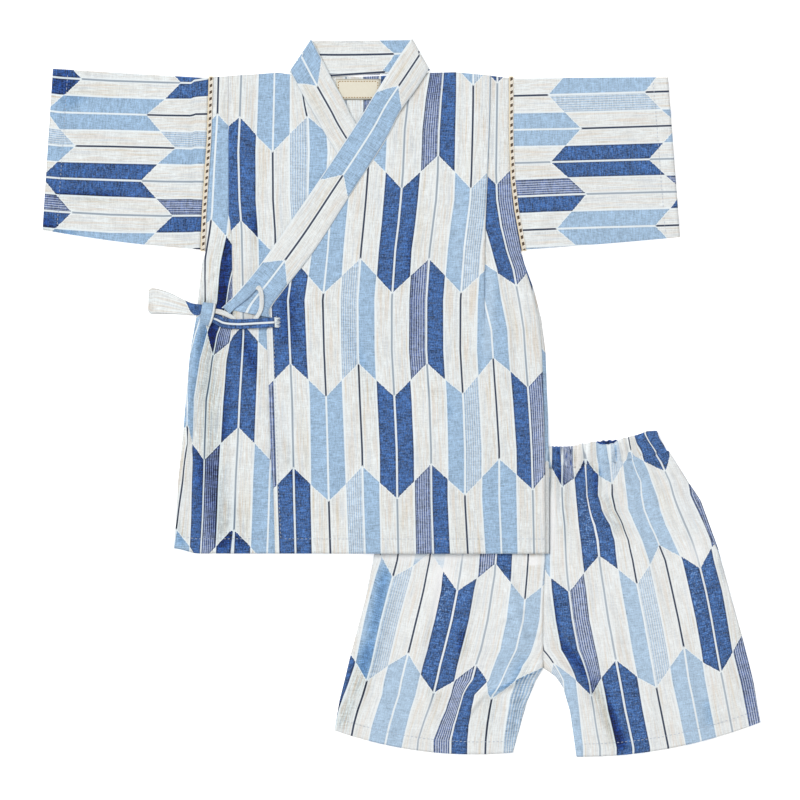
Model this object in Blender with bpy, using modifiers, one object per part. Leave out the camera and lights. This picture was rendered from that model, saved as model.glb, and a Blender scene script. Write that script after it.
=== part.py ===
"""A child's jinbei laid flat: a wrapped jacket over the upper corner of its matching shorts.

Tables and sizes are in millimetres. X runs to the viewer's right, Y towards the collar and Z up,
from the middle of the set's outline on the surface it lies on. Sides are the wearer's, so the
jacket's left front is at +X. Heights are those of a layer's underside unless a name says middle.
"""

from collections import namedtuple
from math import ceil, cos, hypot, pi, sin

import bmesh
import bpy
from mathutils import Vector

MM = 0.001
LAYOUT_MIDDLE = (-1.3, 1.2)     # middle of the set's outline in the tables' own coordinates

# Cloth
CLOTH = 1.0             # wall of one layer of cotton with its seam allowances
BAND_CLOTH = 1.6        # wall of the doubled collar band and of the waist casing
GAP = 0.3               # space kept at seams and between layers
LAYER = CLOTH + GAP     # from one layer's underside to the next one's

# Jacket
SHOULDER_Y = 282.5      # height of the sleeves' upper fold at the armhole
NECK_Y = 286.4          # where the fronts' shoulder edges meet the collar band
UNDERARM_Y = 131.5
HEM_Y = -136.0
YOKE_Y = 262.0          # first section below the shoulder line
LOWER_BODY_Y = 30.0     # below this the sections are evenly spaced down to the hem
LOWER_BODY_STEPS = 12
UNDERARM_SECTIONS = [UNDERARM_Y + 0.1, UNDERARM_Y - 2.0]
NEAREST_SECTION = 3.0   # other sections keep this far from those at the underarm
BACK_COLUMNS = 20
RIGHT_FRONT_COLUMNS = [2, 1, 2, 9]      # outer part, step, tuck, inner part
LEFT_FRONT_COLUMNS = [10, 2, 1, 2]      # inner part, tuck, step, outer part
SLANT_GAP = 0.4         # along X, which leaves GAP across the slanting collar seam
FOLD_STEPS = 5          # steps round the collar band's folds at the shoulders
SIDE_HEM_RISE = 4.5     # how far the hem climbs at the right side seam
SIDE_HEM_WIDTH = 22.0   # the width over which it climbs
TUCK_DEPTH = 14.0       # width of the sewn-down shoulder tuck
TUCK_HEIGHT = 1.4       # how far the tuck's folded edge stands above the cloth beside it
TUCK_STEP = 1.6         # width of the step down from the folded edge
TUCK_SPREAD = 16.0      # how much wider the step gets where the tuck runs out
OVERLAP_RISE = 1.9      # extra height of the left front where it lies on the right one
OVERLAP_MARGIN = 12.0   # the full rise reaches this far past the right front and its band
OVERLAP_RUN = 36.0      # width over which it climbs there
LONGEST_STEP = 24.0     # longest space between a front's sections above its hem half

# Armholes
LACE_WIDTH = 4.4
SLEEVE_RINGS = 7
TUBE_INNER_GAP = 0.5    # between the two walls of a flattened tube

# Shorts
LEG_LIFT = 3.6          # height of the plateau that the jacket forms over the legs
WAIST_LIFT = 1.4        # more height over the waistband
LIFT_MARGIN = 7.0       # the plateau reaches this far past the outline of the shorts
LIFT_RUN = 46.0         # width over which the jacket climbs onto the shorts
LIFT_SLACK = 0.5        # extra space between jacket layers on the climb
FRONT_LEG_COLUMNS = 13
BACK_LEG_COLUMNS = 8
WAIST_SEAM_GAP = 0.8    # the gathered seam between casing and legs is a little open
WAIST_GATHERS = 9       # folds across one face of the waistband
WAIST_GATHER_STEPS = 4  # steps along each of those folds
WAIST_GATHER_HEIGHT = 0.5
LEG_GATHERS = 4         # soft folds that run down each leg from the waistband
LEG_GATHER_HEIGHT = 0.7
LEG_GATHER_LENGTH = 110.0
TIE_CLOTH = 1.0
LABEL_WIDTH = 39.0
LABEL_DEPTH = 18.5
LABEL_LEFT = -59.0
LABEL_DROP = 2.5        # below the back neck seam
WELD = 0.00001          # in metres, joins the two ends of a ring

# Armhole seam, from shoulder to underarm
Armhole = namedtuple("Armhole", "y right left")
ARMHOLES = [
    Armhole(284.0, -169.0, 95.2),
    Armhole(228.0, -170.7, 95.2),
    Armhole(192.7, -173.2, 96.8),
    Armhole(166.0, -174.9, 100.0),
    Armhole(131.0, -176.2, 106.5),
]

# Jacket's side seams below the arms; the left back shows past the left front
Side = namedtuple("Side", "y right left_front left_back")
SIDES = [
    Side(131.0, -173.4, 103.6, 103.8),
    Side(120.0, -176.6, 105.6, 106.4),
    Side(96.0, -179.5, 113.6, 115.4),
    Side(70.0, -182.2, 119.6, 121.8),
    Side(42.0, -187.2, 122.4, 125.4),
    Side(-18.0, -192.4, 124.0, 127.6),
    Side(-71.0, -197.8, 125.0, 128.4),
    Side(-136.0, -201.6, 125.4, 129.0),
]

# Shoulder line from the right arm over the back neck to the left arm
ShoulderPoint = namedtuple("ShoulderPoint", "x y")
SHOULDER_LINE = [
    ShoulderPoint(-175.0, 282.6),
    ShoulderPoint(-147.0, 284.4),
    ShoulderPoint(-110.0, 287.0),
    ShoulderPoint(-98.6, 285.4),
    ShoulderPoint(-38.0, 284.2),
    ShoulderPoint(22.0, 286.8),
    ShoulderPoint(46.0, 287.4),
    ShoulderPoint(77.0, 284.4),
    ShoulderPoint(97.0, 281.8),
]

# Collar band: the free inner edge, the sewn outer edge and the middle of its wall, along the band
BandSection = namedtuple("BandSection", "inner_x inner_y outer_x outer_y middle")
OVER_BAND = [
    BandSection(-159.6, 80.1, -116.0, 71.3, 4.0),
    BandSection(-147.8, 91.5, -116.5, 79.6, 4.0),
    BandSection(-126.4, 117.0, -103.4, 97.7, 4.0),
    BandSection(-100.0, 154.4, -77.4, 131.3, 4.0),
    BandSection(-74.2, 191.8, -48.9, 175.5, 4.0),
    BandSection(-41.0, 242.0, -16.2, 226.1, 4.0),
    BandSection(-26.4, 265.8, -2.7, 252.4, 3.8),
    BandSection(-6.0, 297.6, 12.0, 273.0, 3.5),
    BandSection(6.6, 315.9, 22.0, 288.6, 3.4),
]
BACK_BAND = [
    BandSection(6.6, 315.9, 22.0, 288.6, 0.8),
    BandSection(-20.0, 315.6, -14.0, 286.0, 0.8),
    BandSection(-54.0, 315.2, -60.0, 285.2, 0.8),
    BandSection(-79.6, 315.0, -98.6, 286.6, 0.8),
]
UNDER_BAND = [
    BandSection(-79.6, 315.0, -98.6, 286.6, 3.4),
    BandSection(-62.0, 284.0, -87.0, 266.6, 3.4),
    BandSection(-51.0, 261.0, -76.0, 246.6, 3.3),
    BandSection(-41.0, 242.0, -65.5, 228.2, 2.1),
    BandSection(-7.9, 191.8, -33.0, 176.0, 2.1),
    BandSection(18.0, 154.4, -6.0, 134.0, 2.1),
    BandSection(44.0, 117.0, 18.4, 98.0, 2.1),
    BandSection(77.4, 80.1, 34.3, 76.0, 2.1),
]

# Free edges of the fronts below the collar band
FrontEdge = namedtuple("FrontEdge", "y over under")
FRONT_EDGES = [
    FrontEdge(70.0, -116.4, 34.6),
    FrontEdge(60.0, -120.0, 35.0),
    FrontEdge(10.0, -118.2, 35.6),
    FrontEdge(-54.0, -116.3, 36.4),
    FrontEdge(-78.0, -114.0, 36.8),
    FrontEdge(-136.0, -112.6, 37.4),
]

# Shoulder tucks: where the folded edge lies, where it starts to open and where it has run out
Tuck = namedtuple("Tuck", "edge_top edge_bottom opens_y ends_y faces")
RIGHT_TUCK = Tuck(-153.4, -153.0, 150.0, 100.0, -1)
LEFT_TUCK = Tuck(71.4, 72.2, 170.0, 48.0, 1)

# Sleeves: the cuff's upper and lower corners and the droop of the lower edge
Cuff = namedtuple("Cuff", "top_x top_y bottom_x bottom_y droop")
RIGHT_CUFF = Cuff(-308.0, 290.8, -317.2, 148.8, 2.0)
LEFT_CUFF = Cuff(233.2, 283.4, 243.8, 142.4, 0.5)

# Waist: the casing's top edge and its seam with the legs
WaistPoint = namedtuple("WaistPoint", "x top seam")
WAIST_LINE = [
    WaistPoint(23.0, -31.0, -47.4),
    WaistPoint(44.0, -30.0, -50.6),
    WaistPoint(86.0, -38.0, -57.6),
    WaistPoint(130.0, -42.2, -60.0),
    WaistPoint(150.0, -41.2, -59.6),
    WaistPoint(172.0, -37.0, -57.6),
    WaistPoint(191.0, -35.8, -55.0),
    WaistPoint(203.0, -32.4, -52.4),
    WaistPoint(214.0, -28.4, -49.6),
    WaistPoint(234.0, -27.6, -46.6),
]
WAIST_TOP_ENDS = (33.4, 223.6)
WAIST_SEAM_ENDS = (24.0, 233.4)

# Legs: inner edge, outer edge and how far the row bows down in its middle
LegRow = namedtuple("LegRow", "inner_x inner_y outer_x outer_y bow")
RIGHT_LEG = [
    LegRow(130.2, -60.0, 24.0, -46.8, 0.0),
    LegRow(128.6, -89.0, -4.0, -88.9, 0.0),
    LegRow(127.6, -131.0, -24.6, -132.9, 0.0),
    LegRow(126.8, -177.0, -33.4, -177.0, 0.0),
    LegRow(126.4, -206.0, -40.2, -206.0, 0.0),
    LegRow(126.0, -234.0, -51.0, -229.0, 0.0),
    LegRow(118.0, -248.0, -53.7, -246.0, 3.0),
    LegRow(109.0, -267.0, -58.4, -265.0, 5.0),
    LegRow(96.8, -311.1, -60.7, -291.6, 8.6),
]
LEFT_LEG = [
    LegRow(130.2, -60.0, 233.4, -46.8, 0.0),
    LegRow(128.6, -89.0, 261.6, -88.9, 0.0),
    LegRow(127.6, -131.0, 277.6, -132.9, 0.0),
    LegRow(126.8, -177.0, 289.6, -177.0, 0.0),
    LegRow(126.4, -206.0, 297.6, -206.0, 0.0),
    LegRow(126.0, -234.0, 303.6, -229.0, 0.0),
    LegRow(138.4, -254.0, 308.6, -250.0, 2.0),
    LegRow(144.6, -275.0, 311.6, -268.0, 4.0),
    LegRow(152.2, -314.6, 314.6, -284.4, 8.0),
]

CROTCH_ROW = 5
FRONT_LEG_STEPS = [3, 4, 2, 1, 1, 1, 1, 2]
BACK_LEG_STEPS = [2, 1, 1, 1, 1, 1, 1, 1]

# Pocket mouth in the left side seam: how far the left front is drawn in, at the leg's own sections
PocketPoint = namedtuple("PocketPoint", "y inset")
POCKET_MOUTH = [
    PocketPoint(-60.8, 0.0),
    PocketPoint(-74.9, 0.8),
    PocketPoint(-88.9, 2.2),
    PocketPoint(-99.9, 3.5),
    PocketPoint(-110.9, 3.9),
    PocketPoint(-121.9, 2.6),
    PocketPoint(-132.9, 0.6),
    PocketPoint(-147.6, 0.0),
]

# Ribbons: middle line, underside height and width
RibbonPoint = namedtuple("RibbonPoint", "x y z width")
TAIL_SIDE = [
    RibbonPoint(-172.0, 77.5, 2.7, 9.0),
    RibbonPoint(-178.0, 77.8, 2.7, 9.4),
    RibbonPoint(-186.0, 79.0, 2.6, 10.6),
    RibbonPoint(-196.0, 81.0, 1.2, 14.0),
    RibbonPoint(-208.0, 84.4, 0.6, 19.0),
    RibbonPoint(-223.0, 86.6, 0.6, 24.0),
]
KNOT = [
    RibbonPoint(-170.0, 91.0, 2.7, 11.0),
    RibbonPoint(-170.6, 87.0, 4.6, 12.6),
    RibbonPoint(-171.0, 79.0, 5.6, 12.8),
    RibbonPoint(-171.4, 71.0, 4.8, 12.4),
    RibbonPoint(-172.0, 65.0, 2.7, 11.0),
]
LOOP = [
    RibbonPoint(-162.2, 79.8, 5.2, 7.0),
    RibbonPoint(-155.0, 84.4, 5.4, 8.8),
    RibbonPoint(-146.0, 90.6, 5.4, 9.6),
    RibbonPoint(-136.0, 96.8, 5.4, 8.4),
    RibbonPoint(-129.4, 99.2, 5.6, 5.6),
    RibbonPoint(-124.6, 97.0, 5.8, 4.4),
    RibbonPoint(-122.4, 91.0, 5.8, 4.2),
    RibbonPoint(-122.6, 83.0, 5.6, 4.2),
    RibbonPoint(-125.6, 76.2, 5.3, 4.4),
]
LOOP_RETURN = [
    RibbonPoint(-132.0, 69.4, 2.8, 4.4),
    RibbonPoint(-142.0, 68.6, 2.8, 4.8),
    RibbonPoint(-152.0, 71.4, 2.8, 5.2),
    RibbonPoint(-161.6, 76.0, 2.8, 5.6),
]
TAIL_FRONT = [
    RibbonPoint(-163.4, 69.6, 4.2, 8.4),
    RibbonPoint(-157.0, 66.8, 4.2, 8.6),
    RibbonPoint(-145.0, 65.8, 4.4, 8.6),
    RibbonPoint(-128.0, 66.6, 5.4, 8.6),
    RibbonPoint(-108.0, 67.6, 5.4, 8.6),
]

# Colour, roughness and metallic value of each cloth
Finish = namedtuple("Finish", "color roughness metallic")
FINISHES = {
    "ecru_cotton": Finish((0.86, 0.85, 0.83, 1.0), 0.92, 0.0),
    "light_blue_cotton": Finish((0.42, 0.58, 0.80, 1.0), 0.92, 0.0),
    "dark_blue_cotton": Finish((0.06, 0.13, 0.36, 1.0), 0.9, 0.0),
    "cream_label": Finish((0.88, 0.84, 0.66, 1.0), 0.85, 0.0),
    "ochre_lace": Finish((0.50, 0.36, 0.15, 1.0), 0.85, 0.0),
}


def between(start, end, fraction):
    return start + (end - start) * fraction


def read_row(rows, key, place, column):
    """A column's value at a place along the key column, straight between the rows."""
    ordered = sorted(rows, key=lambda row: getattr(row, key))
    for low, high in zip(ordered, ordered[1:]):
        if place <= getattr(high, key):
            break
    span = getattr(high, key) - getattr(low, key)
    fraction = min(1.0, max(0.0, (place - getattr(low, key)) / span))
    return between(getattr(low, column), getattr(high, column), fraction)


def spread(stops, counts):
    """The stops with each space between them cut into that space's count of equal steps."""
    places = [stops[0]]
    for start, end, count in zip(stops, stops[1:], counts):
        places += [between(start, end, step / count) for step in range(1, count + 1)]
    return places


def cut(stops, longest):
    """The stops, with each space between them cut into equal steps no longer than that."""
    counts = [max(1, ceil(abs(end - start) / longest)) for start, end in zip(stops, stops[1:])]
    return spread(stops, counts)


def ease(value):
    """0 to 1, with a soft start and end."""
    held = min(1.0, max(0.0, value))
    return held * held * (3.0 - 2.0 * held)


def distance_outside(x, y, outline):
    """How far a point lies outside a closed outline, and 0 inside it."""
    nearest = None
    inside = False
    for (ax, ay), (bx, by) in zip(outline, outline[1:] + outline[:1]):
        length_squared = (bx - ax) ** 2 + (by - ay) ** 2
        along = ((x - ax) * (bx - ax) + (y - ay) * (by - ay)) / length_squared
        along = min(1.0, max(0.0, along))
        distance = hypot(x - between(ax, bx, along), y - between(ay, by, along))
        nearest = distance if nearest is None else min(nearest, distance)
        if (ay > y) != (by > y) and x < between(ax, bx, (y - ay) / (by - ay)):
            inside = not inside
    return 0.0 if inside else nearest


def make_material(name):
    finish = FINISHES[name]
    material = bpy.data.materials.new(name)
    material.use_nodes = True
    shader = material.node_tree.nodes["Principled BSDF"]
    shader.inputs["Base Color"].default_value = finish.color
    shader.inputs["Roughness"].default_value = finish.roughness
    shader.inputs["Metallic"].default_value = finish.metallic
    material.diffuse_color = finish.color
    return material


def make_wall(name, across, down, place, finish, wall=CLOTH, middle=False, ring=False):
    """A lattice of sections given a wall by Solidify, upward or to both sides of its middle.

    place(i, j) gives point i of section j. A ring's last point meets its first.
    """
    form = bmesh.new()
    bmesh.ops.create_grid(form, x_segments=across, y_segments=down, size=0.5)
    for point in form.verts:
        i = round((point.co.x + 0.5) * across)
        j = round((0.5 - point.co.y) * down)
        point.co = Vector(place(i % across if ring else i, j)) * MM
    if ring:
        bmesh.ops.remove_doubles(form, verts=form.verts, dist=WELD)
    mesh = bpy.data.meshes.new(name)
    form.to_mesh(mesh)
    form.free()
    mesh.materials.append(make_material(finish))
    piece = bpy.data.objects.new(name, mesh)
    piece.parent = layout
    collection.objects.link(piece)
    thicken = piece.modifiers.new("wall", "SOLIDIFY")
    thicken.thickness = wall * MM
    thicken.offset = 0.0 if middle else 1.0
    thicken.use_even_offset = True


def shorts_outline():
    """The outline of the legs, from the waist seam's right end round to its left end."""
    left_side = [(row.outer_x, row.outer_y) for row in LEFT_LEG]
    left_inner = [(row.inner_x, row.inner_y) for row in reversed(LEFT_LEG[CROTCH_ROW + 1:])]
    right_inner = [(row.inner_x, row.inner_y) for row in RIGHT_LEG[CROTCH_ROW:]]
    right_side = [(row.outer_x, row.outer_y) for row in reversed(RIGHT_LEG)]
    return left_side + left_inner + right_inner + right_side


def waist_outline():
    top = [(x, read_row(WAIST_LINE, "x", x, "top")) for x in spread(WAIST_TOP_ENDS, [6])]
    seam = [(x, read_row(WAIST_LINE, "x", x, "seam")) for x in spread(WAIST_SEAM_ENDS, [6])]
    return top + seam[::-1]


def lift(x, y):
    """Height of the surface that the jacket lies on: the floor, or a soft plateau over the shorts."""
    past_legs = distance_outside(x, y, SHORTS_OUTLINE) - LIFT_MARGIN
    past_waist = distance_outside(x, y, WAIST_OUTLINE) - LIFT_MARGIN
    over_legs = 1.0 - ease(past_legs / LIFT_RUN)
    over_waist = 1.0 - ease(past_waist / LIFT_RUN)
    return max(LEG_LIFT * over_legs, (LEG_LIFT + WAIST_LIFT) * over_waist)


def slack(x, y):
    """Extra space between jacket layers on and near the shorts."""
    return LIFT_SLACK * min(1.0, 4 * lift(x, y) / LEG_LIFT)


def under_front_outline():
    """The outline of the right front and its half of the collar band, as the left front meets it."""
    band_inner = [(section.inner_x, section.inner_y) for section in UNDER_BAND]
    edge = [(row.under, row.y) for row in FRONT_EDGES[1:]]
    side = [(row.right, row.y) for row in reversed(SIDES)]
    return band_inner + edge + side


def armhole_x(side, y):
    return read_row(ARMHOLES, "y", y, side)


def body_edge(side, y, column):
    """A body panel's outer edge: beside the lace down to the underarm, then the side seam."""
    if y >= UNDERARM_Y:
        inward = LACE_WIDTH / 2 + GAP
        return armhole_x(side, y) + (inward if side == "right" else -inward)
    return read_row(SIDES, "y", y, column)


def hem_rise(x):
    """How far the hem climbs near the right side seam."""
    right_side = SIDES[-1].right
    return SIDE_HEM_RISE * (1.0 - ease((x - right_side) / SIDE_HEM_WIDTH))


def tuck_edge(tuck, y):
    return between(tuck.edge_bottom, tuck.edge_top, (y - HEM_Y) / (SHOULDER_Y - HEM_Y))


def tuck_opening(tuck, y):
    """0 where the tuck is sewn down, 1 where it has run out into the cloth."""
    return ease((tuck.opens_y - y) / (tuck.opens_y - tuck.ends_y))


def tuck_stops(tuck, y):
    """The tuck's three lines across a section: its root, its folded edge and the step's foot."""
    edge = tuck_edge(tuck, y)
    step = TUCK_STEP + TUCK_SPREAD * tuck_opening(tuck, y)
    return edge - tuck.faces * TUCK_DEPTH, edge, edge + tuck.faces * step


def tuck_relief(tuck, x, y):
    """Height of the tuck above the plain cloth: a climb to the folded edge, then a step down."""
    root, edge, foot = tuck_stops(tuck, y)
    height = TUCK_HEIGHT * (1.0 - tuck_opening(tuck, y)) ** 2
    if (x - edge) * tuck.faces <= 0.0:
        return height * ease((x - root) / (edge - root))
    return height * (1.0 - ease((x - edge) / (foot - edge)))


def make_back():
    arm_rows = [row.y for row in ARMHOLES[1:-1]]
    rows = [SHOULDER_Y, YOKE_Y] + arm_rows + UNDERARM_SECTIONS[:1]
    rows += spread([UNDERARM_SECTIONS[1], LOWER_BODY_Y, HEM_Y], [3, LOWER_BODY_STEPS])

    def place(i, j):
        y = rows[j]
        left = body_edge("left", y, "left_back")
        right = body_edge("right", y, "right")
        x = between(right, left, i / BACK_COLUMNS)
        if j == 0:
            y = read_row(SHOULDER_LINE, "x", x, "y") - GAP
        if j == len(rows) - 1:
            y += hem_rise(x)
        return x, y, lift(x, y)

    make_wall("jacket_back", BACK_COLUMNS, len(rows) - 1, place, "light_blue_cotton")


def front_rows(band):
    """Section heights of a front: at the band's and the armhole's points, then evenly to the hem."""
    seam = [section.outer_y for section in band if section.outer_y < YOKE_Y]
    armhole = [row.y for row in ARMHOLES[1:-1]]
    upper = [
        y for y in seam + armhole
        if all(abs(y - place) > NEAREST_SECTION for place in UNDERARM_SECTIONS)
    ]
    upper = sorted(upper + UNDERARM_SECTIONS + [LOWER_BODY_Y], reverse=True)
    lower = spread([LOWER_BODY_Y, HEM_Y], [LOWER_BODY_STEPS])
    return [SHOULDER_Y] + cut(upper, LONGEST_STEP) + lower[1:]


def front_edge(band, y, column):
    """A front's inner edge: beside the collar band, then its own free edge down to the hem."""
    lowest_seam = min(section.outer_y for section in band)
    if y >= lowest_seam:
        beside = SLANT_GAP if column == "over" else -SLANT_GAP
        return read_row(band, "outer_y", y, "outer_x") + beside
    return read_row(FRONT_EDGES, "y", y, column)


def make_right_front():
    rows = front_rows(UNDER_BAND)

    def place(i, j):
        y = rows[j]
        root, edge, foot = tuck_stops(RIGHT_TUCK, y)
        outer = body_edge("right", y, "right")
        inner = front_edge(UNDER_BAND, NECK_Y if j == 0 else y, "under")
        x = spread([outer, foot, edge, root, inner], RIGHT_FRONT_COLUMNS)[i]
        if j == 0:
            y = read_row(SHOULDER_LINE, "x", x, "y") + GAP
        if j == len(rows) - 1:
            y += hem_rise(x)
        return x, y, LAYER + lift(x, y) + slack(x, y) + tuck_relief(RIGHT_TUCK, x, rows[j])

    make_wall("jacket_right_front", sum(RIGHT_FRONT_COLUMNS), len(rows) - 1, place, "ecru_cotton")


def make_left_front():
    rows = front_rows(OVER_BAND)
    under = under_front_outline()

    def place(i, j):
        y = rows[j]
        root, edge, foot = tuck_stops(LEFT_TUCK, y)
        inner = front_edge(OVER_BAND, NECK_Y if j == 0 else y, "over")
        outer = body_edge("left", y, "left_front")
        x = spread([inner, root, edge, foot, outer], LEFT_FRONT_COLUMNS)[i]
        if j == 0:
            y = read_row(SHOULDER_LINE, "x", x, "y") + GAP
        overlap = 1.0 - ease((distance_outside(x, y, under) - OVERLAP_MARGIN) / OVERLAP_RUN)
        height = LAYER + OVERLAP_RISE * overlap + lift(x, y) + 2 * slack(x, y)
        return x, y, height + tuck_relief(LEFT_TUCK, x, rows[j])

    make_wall("jacket_left_front", sum(LEFT_FRONT_COLUMNS), len(rows) - 1, place,
              "light_blue_cotton")


def fold_sections(line, low, high, outward):
    """Band sections that carry it round a shoulder fold, between the middles of its two layers."""
    radius = (high - low) / 2
    length = hypot(line.outer_x - line.inner_x, line.outer_y - line.inner_y)
    normal_x = outward * (line.inner_y - line.outer_y) / length
    normal_y = outward * (line.outer_x - line.inner_x) / length
    sections = []
    for step in range(1, FOLD_STEPS):
        angle = pi * step / FOLD_STEPS
        reach = radius * sin(angle)
        sections.append(BandSection(
            line.inner_x + normal_x * reach,
            line.inner_y + normal_y * reach,
            line.outer_x + normal_x * reach,
            line.outer_y + normal_y * reach,
            low + radius * (1.0 - cos(angle)),
        ))
    return sections


def make_collar():
    left_fold = fold_sections(BACK_BAND[0], BACK_BAND[0].middle, OVER_BAND[-1].middle, 1)
    right_fold = fold_sections(BACK_BAND[-1], BACK_BAND[-1].middle, UNDER_BAND[0].middle, -1)
    sections = OVER_BAND + left_fold[::-1] + BACK_BAND + right_fold + UNDER_BAND
    across = 2

    def place(i, j):
        section = sections[j]
        x = between(section.inner_x, section.outer_x, i / across)
        y = between(section.inner_y, section.outer_y, i / across)
        return x, y, section.middle + lift(x, y)

    make_wall("collar_band", across, len(sections) - 1, place, "light_blue_cotton",
              wall=BAND_CLOTH, middle=True)


def flat_ring(run, wall, turn_steps=4):
    """Middle line of a flattened tube in one direction: (place, height) pairs, lower run first.

    run holds the places along the flat part. The turns stand out past both of its ends.
    """
    radius = (wall + TUBE_INNER_GAP) / 2
    base = wall / 2
    ring = [(place, base) for place in run]
    for step in range(1, turn_steps):
        angle = pi * step / turn_steps
        ring.append((run[-1] + radius * sin(angle), base + radius * (1.0 - cos(angle))))
    ring += [(place, base + 2 * radius) for place in reversed(run)]
    for step in range(1, turn_steps):
        angle = pi * step / turn_steps
        ring.append((run[0] - radius * sin(angle), base + radius * (1.0 + cos(angle))))
    return ring


def arm_run(bottom, top):
    """Places across an arm's tube, in step with the armhole's own points."""
    turn = CLOTH + TUBE_INNER_GAP / 2
    near = bottom + turn
    far = top - turn
    parts = [(row.y - UNDERARM_Y) / (SHOULDER_Y - UNDERARM_Y) for row in ARMHOLES[1:-1]]
    return [near] + [between(bottom, top, part) for part in reversed(parts)] + [far]


def make_sleeve(name, side, cuff):
    points = len(flat_ring(arm_run(UNDERARM_Y, SHOULDER_Y), CLOTH))
    outward = -1 if side == "right" else 1

    def place(i, j):
        reach = j / SLEEVE_RINGS
        top = between(SHOULDER_Y, cuff.top_y, reach)
        bottom = between(UNDERARM_Y, cuff.bottom_y, reach) - cuff.droop * sin(pi * reach)
        y, z = flat_ring(arm_run(bottom, top), CLOTH)[i]
        part = (y - bottom) / (top - bottom)
        start = armhole_x(side, between(UNDERARM_Y, SHOULDER_Y, part))
        start += outward * (LACE_WIDTH / 2 + GAP)
        end = between(cuff.bottom_x, cuff.top_x, part)
        return between(start, end, reach), y, z

    make_wall(name, points, SLEEVE_RINGS, place, "light_blue_cotton", middle=True, ring=True)


def make_lace(name, side):
    ring = flat_ring(arm_run(UNDERARM_Y, SHOULDER_Y), CLOTH)

    def place(i, j):
        y, z = ring[i]
        return armhole_x(side, y) + LACE_WIDTH * (j - 0.5), y, z

    make_wall(name, len(ring), 1, place, "ochre_lace", middle=True, ring=True)


def make_label():
    top = read_row(SHOULDER_LINE, "x", LABEL_LEFT + LABEL_WIDTH / 2, "y") - LABEL_DROP

    def place(i, j):
        return LABEL_LEFT + LABEL_WIDTH * i, top - LABEL_DEPTH * j, LAYER

    make_wall("neck_label", 1, 1, place, "cream_label")


def make_ribbon(name, rows, finish):
    """A flat strip along its middle line, level across its width."""
    def place(i, j):
        before = rows[max(0, j - 1)]
        after = rows[min(len(rows) - 1, j + 1)]
        heading = Vector((after.x - before.x, after.y - before.y)).normalized()
        aside = (0.5 - i) * rows[j].width
        return rows[j].x + heading.y * aside, rows[j].y - heading.x * aside, rows[j].z

    make_wall(name, 1, len(rows) - 1, place, finish, wall=TIE_CLOTH)


def finer_leg(leg, counts):
    """The leg's rows with straight ones added between them."""
    columns = [spread([getattr(row, name) for row in leg], counts) for name in LegRow._fields]
    return [LegRow(*values) for values in zip(*columns)]


def make_leg(name, leg, front):
    across = FRONT_LEG_COLUMNS if front else BACK_LEG_COLUMNS
    counts = FRONT_LEG_STEPS if front else BACK_LEG_STEPS
    rows = finer_leg(leg, counts)
    pocket = front and leg is LEFT_LEG
    side = GAP / 2 if leg is LEFT_LEG else -GAP / 2

    def place(i, j):
        row = rows[j]
        part = i / across
        outer_x = row.outer_x
        if pocket:
            outer_x -= read_row(POCKET_MOUTH, "y", row.outer_y, "inset")
        x = between(row.inner_x + side, outer_x, part)
        y = between(row.inner_y, row.outer_y, part) - 4 * row.bow * part * (1.0 - part)
        if j == 0:
            y = read_row(WAIST_LINE, "x", x, "seam") - WAIST_SEAM_GAP / 2
        if not front:
            return x, y, 0.0
        below_waist = (row.inner_y - leg[0].inner_y) / -LEG_GATHER_LENGTH
        fade = 1.0 - ease(below_waist)
        wave = 0.5 - 0.5 * cos(2 * pi * LEG_GATHERS * part)
        return x, y, LAYER + LEG_GATHER_HEIGHT * fade * wave

    if leg is LEFT_LEG:
        make_wall(name, across, len(rows) - 1, place, "ecru_cotton")
        return
    make_wall(name, across, len(rows) - 1, lambda i, j: place(across - i, j), "ecru_cotton")


def make_waistband():
    turn = BAND_CLOTH + TUBE_INNER_GAP / 2
    steps = WAIST_GATHER_STEPS * WAIST_GATHERS
    rows = 2

    def place(i, j):
        reach = j / rows
        left_end = between(WAIST_TOP_ENDS[0], WAIST_SEAM_ENDS[0], reach)
        right_end = between(WAIST_TOP_ENDS[1], WAIST_SEAM_ENDS[1], reach)
        x, z = flat_ring(spread([left_end + turn, right_end - turn], [steps]), BAND_CLOTH)[i]
        top = read_row(WAIST_LINE, "x", x, "top")
        seam = read_row(WAIST_LINE, "x", x, "seam") + WAIST_SEAM_GAP / 2
        part = (x - left_end) / (right_end - left_end)
        wave = 0.5 - 0.5 * cos(2 * pi * WAIST_GATHERS * part)
        ridge = WAIST_GATHER_HEIGHT * wave if z > BAND_CLOTH + TUBE_INNER_GAP else 0.0
        return x, between(top, seam, reach), z + ridge

    points = len(flat_ring(spread(WAIST_TOP_ENDS, [steps]), BAND_CLOTH))
    make_wall("waistband", points, rows, place, "dark_blue_cotton",
              wall=BAND_CLOTH, middle=True, ring=True)


def make_pocket_facing():
    """A sliver between the mouth's edge and the side seam, at the leg's own sections."""
    heights = [point.y for point in POCKET_MOUTH[1:-1]]

    def place(i, j):
        y = heights[j]
        seam = read_row(LEFT_LEG, "outer_y", y, "outer_x")
        mouth = seam - read_row(POCKET_MOUTH, "y", y, "inset") + GAP
        return between(mouth, seam, i), y, LAYER

    make_wall("pocket_facing", 1, len(heights) - 1, place, "dark_blue_cotton")


for old in list(bpy.data.objects):
    bpy.data.objects.remove(old, do_unlink=True)
collection = bpy.data.collections.new("jinbei_set")
bpy.context.scene.collection.children.link(collection)
layout = bpy.data.objects.new("jinbei_layout", None)
layout.location = (-LAYOUT_MIDDLE[0] * MM, -LAYOUT_MIDDLE[1] * MM, 0.0)
collection.objects.link(layout)

SHORTS_OUTLINE = shorts_outline()
WAIST_OUTLINE = waist_outline()

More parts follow.
